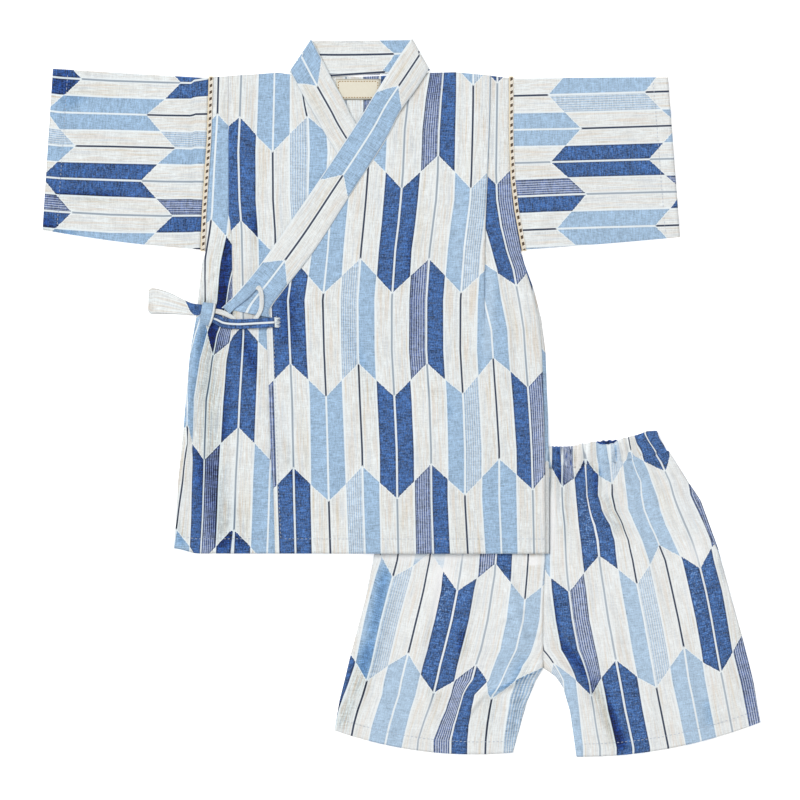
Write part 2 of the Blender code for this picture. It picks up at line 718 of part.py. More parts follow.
make_back()
make_right_front()
make_left_front()
make_collar()
make_sleeve("right_sleeve", "right", RIGHT_CUFF)
make_sleeve("left_sleeve", "left", LEFT_CUFF)
make_lace("right_armhole_lace", "right")
make_lace("left_armhole_lace", "left")
make_label()
make_ribbon("tie_tail_side", TAIL_SIDE, "ecru_cotton")
make_ribbon("tie_knot", KNOT, "light_blue_cotton")
make_ribbon("tie_loop", LOOP, "light_blue_cotton")
make_ribbon("tie_loop_return", LOOP_RETURN, "ecru_cotton")
make_ribbon("tie_tail_front", TAIL_FRONT, "dark_blue_cotton")
make_leg("shorts_right_front", RIGHT_LEG, True)
make_leg("shorts_left_front", LEFT_LEG, True)
make_leg("shorts_right_back", RIGHT_LEG, False)
make_leg("shorts_left_back", LEFT_LEG, False)
make_waistband()
make_pocket_facing()
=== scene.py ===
from bisect import bisect
from functools import partial
from math import cos, exp, hypot, pi, sin

import bmesh
import bpy
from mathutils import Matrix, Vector


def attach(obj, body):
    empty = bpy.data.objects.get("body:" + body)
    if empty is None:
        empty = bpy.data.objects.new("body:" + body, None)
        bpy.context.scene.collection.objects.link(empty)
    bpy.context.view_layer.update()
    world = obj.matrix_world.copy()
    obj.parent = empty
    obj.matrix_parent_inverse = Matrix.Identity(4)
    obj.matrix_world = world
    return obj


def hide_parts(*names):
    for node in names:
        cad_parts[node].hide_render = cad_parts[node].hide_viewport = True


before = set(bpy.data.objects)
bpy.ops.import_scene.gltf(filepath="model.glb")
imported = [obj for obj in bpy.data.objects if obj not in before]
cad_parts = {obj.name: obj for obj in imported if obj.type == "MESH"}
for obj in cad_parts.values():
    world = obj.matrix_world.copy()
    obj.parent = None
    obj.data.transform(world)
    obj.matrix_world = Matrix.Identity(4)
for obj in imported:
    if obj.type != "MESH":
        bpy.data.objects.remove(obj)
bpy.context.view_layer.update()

# A child's jinbei laid flat: wrapped jacket over the corner of its shorts.
# Everything below is drawn in mm on the table, sides are the wearer's.

mm = 0.001

table = {
    "shiftX": 1.3, "shiftY": -1.2,                  # from the drawing to the frame
    "square": 0.88, "gridX": 403.0, "gridY": 399.0, # squared paper of the weaving charts, y goes down
    "layer": 1.3,                                   # from one layer to the next
}


def between(a, b, t):
    return a + (b - a) * t


def ease(t):
    t = min(1.0, max(0.0, t))
    return t * t * (3.0 - 2.0 * t)


def readTrack(track, place, column=1):
    # straight reading between rows sorted by their first number, held at the ends
    if place <= track[0][0]:
        return track[0][column]
    for low, high in zip(track, track[1:]):
        if place <= high[0]:
            return between(low[column], high[column], (place - low[0]) / (high[0] - low[0]))
    return track[-1][column]


def spread(stops, counts):
    places = [stops[0]]
    for start, end, count in zip(stops, stops[1:], counts):
        places += [between(start, end, step / count) for step in range(1, count + 1)]
    return places


def smoothPath(points, steps):
    # Catmull-Rom through the points, each point a tuple of any length
    path, last = [], len(points) - 1
    for k in range(last):
        p0, p1, p2, p3 = (points[min(last, max(0, k + n))] for n in (-1, 0, 1, 2))
        for step in range(steps):
            t = step / steps
            path.append(tuple(
                0.5 * (2 * b + (c - a) * t + (2 * a - 5 * b + 4 * c - d) * t * t
                       + (3 * b - 3 * c + d - a) * t ** 3)
                for a, b, c, d in zip(p0, p1, p2, p3)))
    return path + [tuple(points[-1])]


def distanceOutside(x, y, outline):
    nearest, inside = 1e9, False
    ax, ay = outline[-1]
    for bx, by in outline:
        dx, dy = bx - ax, by - ay
        along = min(1.0, max(0.0, ((x - ax) * dx + (y - ay) * dy) / (dx * dx + dy * dy)))
        nearest = min(nearest, hypot(x - ax - dx * along, y - ay - dy * along))
        if (ay > y) != (by > y) and x < ax + dx * (y - ay) / dy:
            inside = not inside
        ax, ay = bx, by
    return 0.0 if inside else nearest


def runLengths(sections):
    # distance travelled along the middle of sections, each two points
    lengths = [0.0]
    for a, b in zip(sections, sections[1:]):
        lengths.append(lengths[-1] + hypot(b[0] + b[2] - a[0] - a[2], b[1] + b[3] - a[1] - a[3]) / 2)
    return lengths


def creaseHeight(creases, x, y, lean=0.45):
    # each crease: start, end, half width and height, fading out at both ends
    height = 0.0
    for ax, ay, bx, by, width, rise in creases:
        dx, dy = bx - ax, by - ay
        length = hypot(dx, dy)
        along = ((x - ax) * dx + (y - ay) * dy) / (length * length)
        if -0.15 < along < 1.15:
            aside = ((x - ax) * dy - (y - ay) * dx) / length
            reach = width if aside > 0 else lean * width     # steeper on one side
            if abs(aside) < 3 * reach:
                fade = ease((along + 0.15) / 0.35) * ease((1.15 - along) / 0.35)
                height += rise * fade * exp(-(aside / reach) ** 2)
    return height


# weaving charts: where the column borders and the arrow rows fall on each panel

def columnAt(threads, cross, along):
    # threads: rows (along, {border number: cross})
    def read(marks):
        borders = sorted(marks, key=lambda border: marks[border])
        k = 0
        while k < len(borders) - 2 and cross > marks[borders[k + 1]]:
            k += 1
        low, high = borders[k], borders[k + 1]
        return between(low, high, (cross - marks[low]) / (marks[high] - marks[low]))

    k = 0
    while k < len(threads) - 2 and along > threads[k + 1][0]:
        k += 1
    low, high = threads[k], threads[k + 1]
    t = (along - low[0]) / (high[0] - low[0])
    return between(read(low[1]), read(high[1]), min(1.25, max(-0.25, t)))


def rowAt(rows, cross, along):
    # rows: (row number, [(cross, along), ...]) sorted by along
    places = [(readTrack(line, cross), number) for number, line in rows]
    k = 0
    while k < len(places) - 2 and along > places[k + 1][0]:
        k += 1
    (low, first), (high, second) = places[k], places[k + 1]
    return between(first, second, (along - low) / (high - low))


def clothAt(chart, x, y):
    gridX = x / table["square"] + table["gridX"]
    gridY = table["gridY"] - y / table["square"]
    cross, along = (gridY, gridX) if chart["turned"] else (gridX, gridY)
    return columnAt(chart["threads"], cross, along), rowAt(chart["rows"], cross, along)


def chartOf(step, threads, rows, turned=False):
    # threads: along, first border number, then its place and those of the next ones, counted by step
    marks = [(along, {first + step * k: place for k, place in enumerate(places)})
             for along, first, *places in threads]
    return {"threads": marks, "rows": rows, "turned": turned}


leftFrontThreads = [
    (72, 2, 360, 395, 430, 456.5, 490), (100, 2, 356, 391, 425.3, 456.3, 490),
    (130, 2, 352.5, 387.5, 422, 455.7, 489.5), (172, 1, 317, 350.5, 385.5, 420.5, 455, 488),
    (200, 1, 315, 348.5, 383.3, 418.2, 454, 486.5), (225, 1, 313.5, 346, 381.2, 415.5, 450.3, 484),
    (250, 0, 278, 312, 343.7, 378.5, 412, 447.5, 480.8),
    (300, 0, 271, 305, 340.5, 374.7, 409, 443.5, 477.5),
    (350, 0, 273, 307, 341, 375, 408.6, 443.7, 476.7, 508.5, 541.5),
    (400, 0, 274.5, 309.7, 342.8, 377, 412, 446.6, 479.5, 512.5, 545),
    (450, 0, 276, 310.5, 344.8, 379.5, 414.2, 447.8, 482, 516, 546.8),
    (500, 0, 277.4, 311, 346.7, 379.8, 414.7, 448, 481.7, 516.7, 549),
    (545, 0, 278.8, 312, 348.6, 380.8, 415.6, 450, 484.6, 517.6, 550)
]
leftFrontChart = chartOf(1, leftFrontThreads, [
    (5, [(0, 68)]), (4, [(0, 172)]), (3, [(0, 276)]), (2, [(447, 380), (479, 375.5), (512, 371)]),
    (1, [(277, 485), (345, 484), (447, 479.5), (482, 477), (516, 474.5), (545, 471)]),
    (0, [(277, 588), (545, 575)])
])
leftFrontSideChart = chartOf(1, [  # past the shoulder tuck
    (72, 7, 480.5, 514.5), (172, 7, 479, 513.2), (200, 7, 480.2, 514), (227, 7, 484.6, 518),
    (250, 7, 491.5, 522.3), (269, 7, 496.6, 530), (300, 7, 501.5, 536.5), (330, 7, 507.5, 540),
] + [(along, 6, *places[6:]) for along, first, *places in leftFrontThreads[8:]], [
    (5, [(0, 66)]), (4, [(0, 167.5)]), (3, [(484, 276), (514, 269)]), (2, [(479, 375.5), (512, 371)]),
    (1, [(482, 477), (516, 474.5), (545, 471)]), (0, [(0, 576)])
])
rightFrontChart = chartOf(1, [
    (80, 0, 224, 258.4, 290.3, 312), (120, 0, 222.6, 257, 290, 326), (152, 0, 221, 255.8, 289.6, 328),
    (200, 0, 223, 256, 290, 325), (230, 0, 225.5, 258, 292, 326), (290, 0, 227, 259, 293.5, 327),
    (335, 0, 228.5, 258.3, 293, 327), (360, 0, 226.2, 257.8, 292, 326), (400, 0, 223, 256.3, 291, 325),
    (443, 0, 220.8, 254.6, 288.5, 322), (480, 0, 218.6, 252.8, 286.5, 320),
    (520, 0, 217.2, 251.8, 285, 319), (550, 0, 215.8, 250.6, 284, 318)
], [
    (6, [(0, 33)]), (5, [(217, 131), (257, 135.5), (305, 133)]), (4, [(205, 236), (258, 238)]),
    (3, [(0, 341.5)]), (2, [(0, 443.5)]), (1, [(0, 547)])
])
rightFrontSideChart = chartOf(0.5, [  # past the shoulder tuck
    (72, -2, 201.6, 218.6, 235.6), (114, -2, 200.5, 217.5, 234.5), (165, -2, 197.5, 214.5, 231.5),
    (213, -2, 195, 212, 229), (234, -2, 192, 209.3, 226.6), (260, -2, 189.5, 205.1, 220.7, 236.35, 252),
    (285, -2, 192, 205.1, 218.2, 229, 240), (302, -2, 193.5, 205.2, 216.9, 226.5, 236.5),
    (319, -2, 189, 200.5, 212, 222.5, 236), (335, -2, 184, 195.25, 206.5, 217, 231),
    (360, -2, 177, 188.3, 199.6, 212, 226.2), (400, -2, 168, 188, 193.5, 206, 223),
    (443, -2, 166, 188.5, 191.9, 204.6, 220.7), (480, -2, 165, 183.3, 191.6, 203.6, 218.6),
    (520, -2, 162, 177.6, 191, 202.4, 217.2), (550, -2, 158, 173, 189.6, 200.6, 215.8)
], [
    (6, [(0, 30)]), (5, [(0, 131)]), (4, [(205, 236), (230, 236)]),
    (3, [(194, 326), (206, 331), (216, 340), (230, 342.5)]), (2, [(0, 443.5)]), (1, [(0, 546.5)])
])
backChart = chartOf(1, [
    (0, 4, 363, 397), (600, 4, 363, 397)
], [
    (5, [(520, 58), (536, 22)]), (0, [(520, 588), (536, 552)])
])
rightSleeveChart = chartOf(1, [
    (45, 0, 59, 93, 127.5, 160.5, 193.5, 227.5), (60, 0, 60.5, 95, 129.7, 161.8, 194.8, 229),
    (110, 0, 64, 97.5, 130, 163, 197, 232.5), (165, 0, 66, 99.2, 131.6, 164.2, 199, 233),
    (192, 0, 67, 99, 132.5, 165, 198.6, 232.6), (194, 0, 64, 97.4, 131, 164.2, 199, 232.2),
    (208, 0, 60.5, 96.4, 131.5, 164.2, 199.4, 232)
], [
    (0, [(0, -36)]), (1, [(79, 65), (96, 64), (130, 60), (162, 58), (195, 56), (229, 55)]),
    (2, [(80, 165.5), (99, 165), (131, 160.5), (164, 157.6), (199, 156.4), (233, 155.2)]), (3, [(0, 262)])
], turned=True)
leftSleeveChart = chartOf(-1, [
    (514, 3, 78.5, 113.2, 146.4, 179.8, 213.6, 247.5), (564, 3, 77, 112.3, 145.7, 177.8, 211.6, 245.5),
    (610, 3, 75.5, 111, 144.3, 176.6, 210.2, 244), (662, 3, 74, 109.3, 142.7, 175.3, 208.8, 242.5),
    (676, 3, 73.5, 109, 142.2, 175.2, 208.4, 242)
], [
    (4, [(0, 468)]), (3, [(79, 564), (112, 564.5), (146, 565.5), (178, 568.5), (212, 572), (246, 576)]),
    (2, [(79, 659), (109, 661.2), (143, 663.6), (175, 665.4), (209, 670.3), (242, 671)]), (1, [(0, 766)])
], turned=True)
leftLegChart = chartOf(-1, [
    (440, 5, 551, 571, 597, 619, 636.5, 662), (462, 5, 552, 572.5, 598, 622.5, 644, 678),
    (481, 5, 550, 574.3, 598.4, 625, 651.5, 687.5), (495, 5, 549, 575.6, 597.8, 626.4, 656.6, 690),
    (510, 5, 549, 577, 602.4, 628, 660.5, 697), (525, 5, 551, 578.2, 610.6, 634.6, 666, 704),
    (540, 5, 550.6, 580, 615, 641.6, 673, 710), (560, 5, 550.3, 582, 617, 648.3, 682, 714),
    (575, 5, 550.5, 584, 619, 651.6, 685.6, 718), (590, 5, 551.5, 586.4, 621.5, 655, 689, 722),
    (620, 5, 555.4, 589.8, 627, 661.5, 695.6, 727.6), (650, 5, 561, 596, 632, 667.3, 701, 732.5),
    (680, 5, 576, 601.6, 638, 671.8, 705.4, 739.7), (710, 5, 579.5, 607.5, 643, 678.6, 711, 745.7),
    (740, 5, 582.6, 614.5, 649, 684.6, 717, 751)
], [
    (0, [(551, 365), (668, 355)]),
    (1, [(545, 425), (550.5, 466), (562, 469), (574, 478.5), (587, 478.5), (600, 474.5), (611, 467),
         (622, 464), (633, 469.5), (643, 461.5), (662, 455), (668, 452)]),
    (2, [(551, 577.6), (584, 573), (618, 569.5), (649, 565), (680.5, 556), (712, 547.5)]),
    (3, [(576, 680), (602, 678), (638, 677), (670, 667.5), (703.7, 662), (733.6, 651.5), (745, 646)]),
    (4, [(576, 783), (745, 749)])
])
leftLegChart["threads"][2][1][1.5] = 640.8      # one middle line wanders under the casing
rightLegChart = chartOf(-1, [
    (450, 3, 396, 428, 460, 488, 517, 545), (560, 3, 380.5, 414, 445, 479, 512.3, 543.8),
    (575, 3, 375.6, 411, 442, 477.8, 511.5, 542.5), (590, 3, 371.6, 406.8, 440.5, 474.3, 510, 541.4),
    (620, 3, 364.2, 398.6, 434.2, 469, 506.3, 539.6, 589.6),
    (650, 3, 358, 391.5, 426.8, 461.5, 500, 532, 582), (665, 3, 355, 388, 422.4, 457.8, 494, 523, 573),
    (680, 3, 350, 384, 419, 454.8, 489, 515, 565), (695, 3, 344.3, 381.6, 415.8, 450.7, 474.8, 510, 560),
    (710, 3, 339, 376.6, 410.8, 445.6, 471.2, 508), (725, 3, 335.6, 371.8, 407, 438.8, 469, 505.5),
    (740, 3, 333, 368.6, 403.5, 433, 467.8, 503.6), (752, 3, 331, 366, 401, 433, 467.6, 503)
], [
    (1, [(380, 455), (443, 467), (511, 478), (541, 483)]),
    (2, [(370, 550), (380.5, 556), (413, 566), (443, 570.8), (476.7, 578), (511, 582.5), (541, 587)]),
    (3, [(355, 661.8), (388, 666), (420.5, 674), (455.5, 681), (489, 682.5), (508, 680)]),
    (4, [(340, 764), (508, 784)])
])


# materials

def addNode(tree, kind, inputs=(), **settings):
    node = tree.nodes.new(kind)
    for key, value in settings.items():
        setattr(node, key, value)
    for socket, value in inputs:
        if isinstance(value, bpy.types.NodeSocket):
            tree.links.new(value, node.inputs[socket])
        else:
            node.inputs[socket].default_value = value
    return node


def sumOf(tree, operation, *values):
    return addNode(tree, "ShaderNodeMath", list(enumerate(values)), operation=operation).outputs[0]


def softStep(tree, value, start, end, high=1.0, low=0.0):
    return addNode(tree, "ShaderNodeMapRange", [(0, value), (1, start), (2, end), (3, low), (4, high)],
                   interpolation_type="SMOOTHSTEP").outputs[0]


def mixColour(tree, factor, a, b, blend="MIX"):
    return addNode(tree, "ShaderNodeMix", [(0, factor), (6, a), (7, b)],
                   data_type="RGBA", blend_type=blend).outputs[2]


def lanes(tree, place, stops):
    # constant colour for each half column
    ramp = addNode(tree, "ShaderNodeValToRGB", [(0, place)])
    ramp.color_ramp.interpolation = "CONSTANT"
    elements = ramp.color_ramp.elements
    elements[0].position, elements[0].color = stops[0][0] / 16, stops[0][1]
    elements.remove(elements[1])
    for position, colour in stops[1:]:
        elements.new(position / 16).color = colour
    return ramp.outputs[0]


def threadNoise(tree, across, along, scaleAcross, scaleAlong, detail=2.0, seed=0.0):
    # noise in thread directions, scales in mm
    vector = addNode(tree, "ShaderNodeCombineXYZ", [
        (0, sumOf(tree, "DIVIDE", across, scaleAcross)),
        (1, sumOf(tree, "DIVIDE", along, scaleAlong)), (2, seed)]).outputs[0]
    return addNode(tree, "ShaderNodeTexNoise", [("Vector", vector), ("Scale", 1.0),
                                                ("Detail", detail)]).outputs[0]


def newMaterial(name):
    material = bpy.data.materials.new(name)
    material.use_nodes = True
    tree = material.node_tree
    return material, tree, tree.nodes["Principled BSDF"]


weave = {
    "columnMm": 30.0, "rowMm": 91.0, "peak": 0.164,
    "dark": (0.041, 0.118, 0.325, 1), "light": (0.368, 0.532, 0.722, 1),
    "darkGround": (0.440, 0.505, 0.650, 1), "darkStripe": (0.070, 0.115, 0.290, 1),
    "lightGround": (0.680, 0.755, 0.820, 1), "lightStripe": (0.405, 0.550, 0.710, 1),
    "edge": (0.014, 0.034, 0.110, 1), "ecru": (0.790, 0.792, 0.765, 1), "white": (0.90, 0.96, 0.98, 1),
    "tan": (0.690, 0.625, 0.480, 1), "cool": (0.720, 0.775, 0.820, 1), "rose": (0.790, 0.745, 0.690, 1),
    "navyLine": (0.014, 0.026, 0.070, 1), "paleLine": (0.34, 0.40, 0.47, 1),
    "fleck": (0.42, 0.52, 0.70, 1), "threadMm": 0.45, "stripes": 15,
}


def arrowFeatherCotton(name, seed, slubs=0.85):
    material, tree, shader = newMaterial(name)
    op, step, mix, node = (partial(helper, tree) for helper in (sumOf, softStep, mixColour, addNode))
    cloth = node("ShaderNodeUVMap", uv_map="cloth").outputs[0]
    parts = node("ShaderNodeSeparateXYZ", [(0, cloth)])
    u, v = parts.outputs[0], parts.outputs[1]
    across, along = op("MULTIPLY", u, weave["columnMm"]), op("MULTIPLY", v, weave["rowMm"])
    noise = partial(threadNoise, tree, across, along)

    # threads slip against each other, which feathers every dyed edge
    slip = op("SUBTRACT", noise(0.55, 9.0, 1.0, seed), 0.5)
    column = op("FLOOR", u)
    place = op("SUBTRACT", u, column)
    up = op("MULTIPLY_ADD", op("FLOORED_MODULO", column, 2.0), -2.0, 1.0)
    slope = op("SUBTRACT", 1.0, op("ABSOLUTE", op("MULTIPLY_ADD", place, 2.0, -1.0)))
    feather = op("MULTIPLY", op("MULTIPLY", slope, up), weave["peak"])
    height = op("ADD", op("SUBTRACT", v, feather), op("MULTIPLY", slip, 0.030))
    row = op("FLOOR", height)
    dyed = op("SUBTRACT", 1.0, op("FLOORED_MODULO", op("ADD", row, column), 2.0))
    block = op("SUBTRACT", height, row)
    toEnd = op("MINIMUM", block, op("SUBTRACT", 1.0, block))
    toBorder = op("MINIMUM", place, op("SUBTRACT", 1.0, place))
    toMiddle = op("ABSOLUTE", op("SUBTRACT", place, 0.5))
    byLane = partial(lanes, tree, op("FRACT", op("DIVIDE", u, 8.0)))

    dark, light, white = weave["dark"], weave["light"], weave["white"]
    none, faint, whole = (0, 0, 0, 1), (0.12, 0.12, 0.12, 1), (1, 1, 1, 1)
    plain = byLane([
        (0, dark), (2, light), (4, weave["lightGround"]), (5, light), (6, dark),
        (8, weave["darkGround"]), (9, dark), (10, light), (11, weave["lightGround"]),
        (12, light), (14, dark), (15, weave["darkGround"])])
    striped = byLane([(0, none), (4, whole), (5, none), (8, whole), (9, none), (11, whole), (12, none),
                      (15, whole)])
    stripe = byLane([(0, light), (4, weave["lightStripe"]), (8, weave["darkStripe"]),
                     (11, weave["lightStripe"]), (15, weave["darkStripe"])])
    fine = byLane([(0, weave["paleLine"]), (2, weave["navyLine"]), (6, weave["paleLine"]),
                   (10, weave["navyLine"]), (14, weave["paleLine"])])

    wave = op("SINE", op("MULTIPLY", place, 2 * pi * weave["stripes"]))
    colour = mix(op("MULTIPLY", striped, step(wave, -0.35, 0.35)), plain, stripe)

    # mottled chambray: warp and weft threads of uneven thickness crossing
    warp = noise(0.75, 6.0, 2.0, seed + 3.1)
    weft = noise(6.5, 0.75, 2.0, seed + 7.7)
    speck = noise(0.9, 1.0, 1.0, seed + 9.4)
    cloud = noise(5.0, 7.0, 3.0, seed + 5.3)

    grain = step(warp, 0.25, 0.75, 1.3, -1.3)
    for part, share in ((weft, 1.6), (speck, 1.0), (cloud, 0.6)):
        grain = op("ADD", grain, step(part, 0.25, 0.75, share, -share))

    def laidOver(base, *coats):
        # coats: value, where it starts and is full, share, colour
        for value, start, full, share, coat in coats:
            base = mix(step(value, start, full, share), base, coat)
        return base

    def uneven(base, depth):
        # the same swing in light and dark, so it shows more on the dark
        brightness = node("ShaderNodeRGBToBW", [(0, base)]).outputs[0]
        swing = op("DIVIDE", depth, op("MULTIPLY_ADD", brightness, 0.6, 0.05))
        level = op("MAXIMUM", op("MULTIPLY_ADD", grain, swing, 1.0), 0.35)
        shade = node("ShaderNodeCombineColor", [(0, level), (1, level), (2, level)]).outputs[0]
        return mix(1.0, base, shade, "MULTIPLY")

    # dyed blocks: darker selvedge threads beside the white lines and at both ends
    besideBorder = step(toBorder, 0.080, 0.030)
    besideMiddle = step(toMiddle, 0.085, 0.040, 0.75)
    atEnd = step(toEnd, 0.022, 0.008, 0.7)
    rim = op("MAXIMUM", op("MAXIMUM", besideBorder, besideMiddle), atEnd)
    rim = op("MULTIPLY", rim, byLane([(0, whole), (2, faint), (6, whole), (10, faint), (14, whole)]))
    colour = mix(rim, colour, mix(0.75, colour, weave["edge"]))
    colour = uneven(colour, 0.042)
    fleck = noise(0.9, 1.8, 1.0, seed + 15.0)
    colour = laidOver(
        colour, (fleck, 0.42, 0.75, 0.20, weave["fleck"]), (toMiddle, 0.036, 0.020, 0.9, white))

    # undyed blocks: slubs of many tints along the warp, one fine line, white thread at the dyed ends
    slub = noise(2.2, 46.0, 3.0, seed + 11.0)
    tints = node("ShaderNodeValToRGB", [(0, slub)])
    elements = tints.color_ramp.elements
    elements[0].position, elements[0].color = 0.24, weave["tan"]
    elements[1].position, elements[1].color = 0.78, weave["rose"]
    for position, tone in ((0.38, "rose"), (0.46, "ecru"), (0.52, "white"), (0.57, "ecru"), (0.66, "cool")):
        elements.new(position).color = weave[tone]
    band = noise(11.0, 90.0, 2.0, seed + 17.0)
    ground = mix(slubs, weave["ecru"], tints.outputs[0])
    ground = laidOver(
        ground, (band, 0.54, 0.74, 0.26, weave["tan"]), (band, 0.46, 0.28, 0.36, weave["cool"]))
    ground = laidOver(
        uneven(ground, 0.022), (toMiddle, 0.085, 0.045, 0.6, white), (toBorder, 0.060, 0.025, 0.7, white),
        (toMiddle, 0.035, 0.020, 0.97, fine), (toEnd, 0.014, 0.005, 0.8, white))
    colour = laidOver(mix(dyed, ground, colour), (toBorder, 0.018, 0.008, 0.8, white))

    # painted shade and painted light: the tone attribute deepens colours where shade falls in folds and
    # creases, and its negative part paints light on the pale colours but not on the darks
    tone = node("ShaderNodeAttribute", attribute_name="tone").outputs["Fac"]
    paleness = node("ShaderNodeRGBToBW", [(0, colour)]).outputs[0]
    paintedLight = op("MULTIPLY", op("MINIMUM", tone, 0.0), step(paleness, 0.12, 0.35))
    power = op("ADD", op("ADD", 1.0, op("MAXIMUM", tone, 0.0)), paintedLight)
    colour = node("ShaderNodeGamma", [(0, colour), (1, power)]).outputs[0]
    tree.links.new(colour, shader.inputs["Base Color"])

    # plain weave relief
    over = op("SINE", op("MULTIPLY", across, 2 * pi / weave["threadMm"]))
    under = op("SINE", op("MULTIPLY", along, 2 * pi / weave["threadMm"]))
    threads = op("MULTIPLY", over, under)
    relief = op("ADD", op("MULTIPLY", threads, 0.2),
                op("ADD", op("ADD", warp, weft), op("ADD", speck, cloud)))
    bump = node("ShaderNodeBump", [("Strength", 0.7), ("Distance", 0.0004), ("Height", relief)])
    tree.links.new(bump.outputs[0], shader.inputs["Normal"])
    tree.links.new(step(cloud, 0.3, 0.7, 0.95, 0.84), shader.inputs["Roughness"])
    shader.inputs["Sheen Weight"].default_value = 0.12
    shader.inputs["Sheen Roughness"].default_value = 0.6
    shader.inputs["Specular IOR Level"].default_value = 0.25
    return material


def threadMaterial(name, colour, second, roughness=0.8, twistMm=0.9):
    # twisted thread or tape, colour changing along the twist
    material, tree, shader = newMaterial(name)
    where = addNode(tree, "ShaderNodeTexCoord").outputs["Object"]
    bands = addNode(tree, "ShaderNodeTexWave", [
        ("Vector", where), ("Scale", 0.3 / (twistMm * mm)), ("Distortion", 2.0), ("Detail", 2.0)],
        bands_direction="DIAGONAL").outputs[1]
    patches = addNode(tree, "ShaderNodeTexNoise", [("Vector", where), ("Scale", 420.0),
                                                   ("Detail", 3.0)]).outputs[0]
    amount = sumOf(tree, "MULTIPLY_ADD", patches, 0.7, sumOf(tree, "MULTIPLY", bands, 0.3))
    tree.links.new(mixColour(tree, amount, colour, second), shader.inputs["Base Color"])
    bump = addNode(tree, "ShaderNodeBump", [("Strength", 0.5), ("Distance", 0.0002), ("Height", amount)])
    tree.links.new(bump.outputs[0], shader.inputs["Normal"])
    tree.links.new(softStep(tree, patches, 0.3, 0.7, roughness + 0.06, roughness - 0.06),
                   shader.inputs["Roughness"])
    shader.inputs["Sheen Weight"].default_value = 0.15
    return material


clothMaterial = arrowFeatherCotton("arrowFeatherCotton", 0.0)
collarMaterial = arrowFeatherCotton("collarCotton", 21.0, 0.70)
tieMaterial = arrowFeatherCotton("tieCotton", 43.0, 1.0)
seamThread = threadMaterial("seamThread", (0.60, 0.65, 0.72, 1), (0.46, 0.52, 0.62, 1))
fringeThread = threadMaterial("fringeThread", (0.86, 0.92, 0.93, 1), (0.80, 0.88, 0.90, 1))
goldThread = threadMaterial("laceGoldThread", (0.84, 0.75, 0.58, 1), (0.68, 0.56, 0.38, 1), 0.62)
laceCream = threadMaterial("laceCreamThread", (0.94, 0.90, 0.82, 1), (0.86, 0.78, 0.66, 1), 0.75)
# a near-black sheet under the lace: painted shadow seen through its holes
laceHoleShadow = threadMaterial("laceHoleShadowSheet", (0.050, 0.030, 0.022, 1), (0.13, 0.085, 0.050, 1), 0.85)
labelMaterial = threadMaterial("labelCotton", (0.79, 0.75, 0.63, 1), (0.70, 0.65, 0.52, 1), 0.7, 0.5)
ochreThread = threadMaterial("labelThread", (0.42, 0.24, 0.06, 1), (0.28, 0.15, 0.04, 1), 0.7)
print("materials made")


# building cloth

def finishMesh(name, bm, materials, node, smooth=True):
    mesh = bpy.data.meshes.new(name)
    bm.to_mesh(mesh)
    bm.free()
    for material in materials:
        mesh.materials.append(material)
    if smooth:
        mesh.shade_smooth()
    piece = bpy.data.objects.new(name, mesh)
    bpy.context.scene.collection.objects.link(piece)
    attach(piece, "root")
    if node:
        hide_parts(node)
    return piece


def finishForm(name, bm, materials, node=None):
    bmesh.ops.recalc_face_normals(bm, faces=bm.faces)
    return finishMesh(name, bm, materials, node, smooth=False)


def spot(x, y, z):
    return Vector(((x + table["shiftX"]) * mm, (y + table["shiftY"]) * mm, z * mm))


def sewSheet(name, node, points, uvAt, thick, material=clothMaterial,
             regions=None, ring=False):
    # points[j][i] are undersides in mm; uvAt(region, j, i) gives the cloth's own column and row
    bm = bmesh.new()
    layer = bm.loops.layers.uv.new("cloth")
    half = 0.0 if ring else thick / 2
    grid = [[bm.verts.new(spot(x, y, z + half)) for x, y, z in row] for row in points]
    columns = len(points[0])
    known = {}
    for j in range(len(points) - 1):
        for i in range(columns if ring else columns - 1):
            corners = [(j, i), (j + 1, i), (j + 1, i + 1), (j, i + 1)]
            face = bm.faces.new([grid[b][a % columns] for b, a in corners])
            region = regions[i] if regions else 0
            for loop, (b, a) in zip(face.loops, corners):
                key = (region, b, a)
                if key not in known:
                    known[key] = uvAt(region, b, a)
                loop[layer].uv = known[key]
    bm.normal_update()
    if sum(face.normal.z * face.calc_area() for face in bm.faces) < 0 and not ring:
        bmesh.ops.reverse_faces(bm, faces=bm.faces)
    piece = finishMesh(name, bm, [material], node)
    wall = piece.modifiers.new("wall", "SOLIDIFY")
    wall.thickness = thick * mm
    wall.offset = 0.0
    return piece


def paintShadeAndLight(piece, folds, base=0.0):
    # folds: start, end, half width, depth of painted shade; a negative depth paints light
    tone = piece.data.attributes.new("tone", "FLOAT", "POINT")
    for vertex, value in zip(piece.data.vertices, tone.data):
        x, y = vertex.co.x / mm - table["shiftX"], vertex.co.y / mm - table["shiftY"]
        value.value = min(1.3, base + creaseHeight(folds, x, y, 1.0))


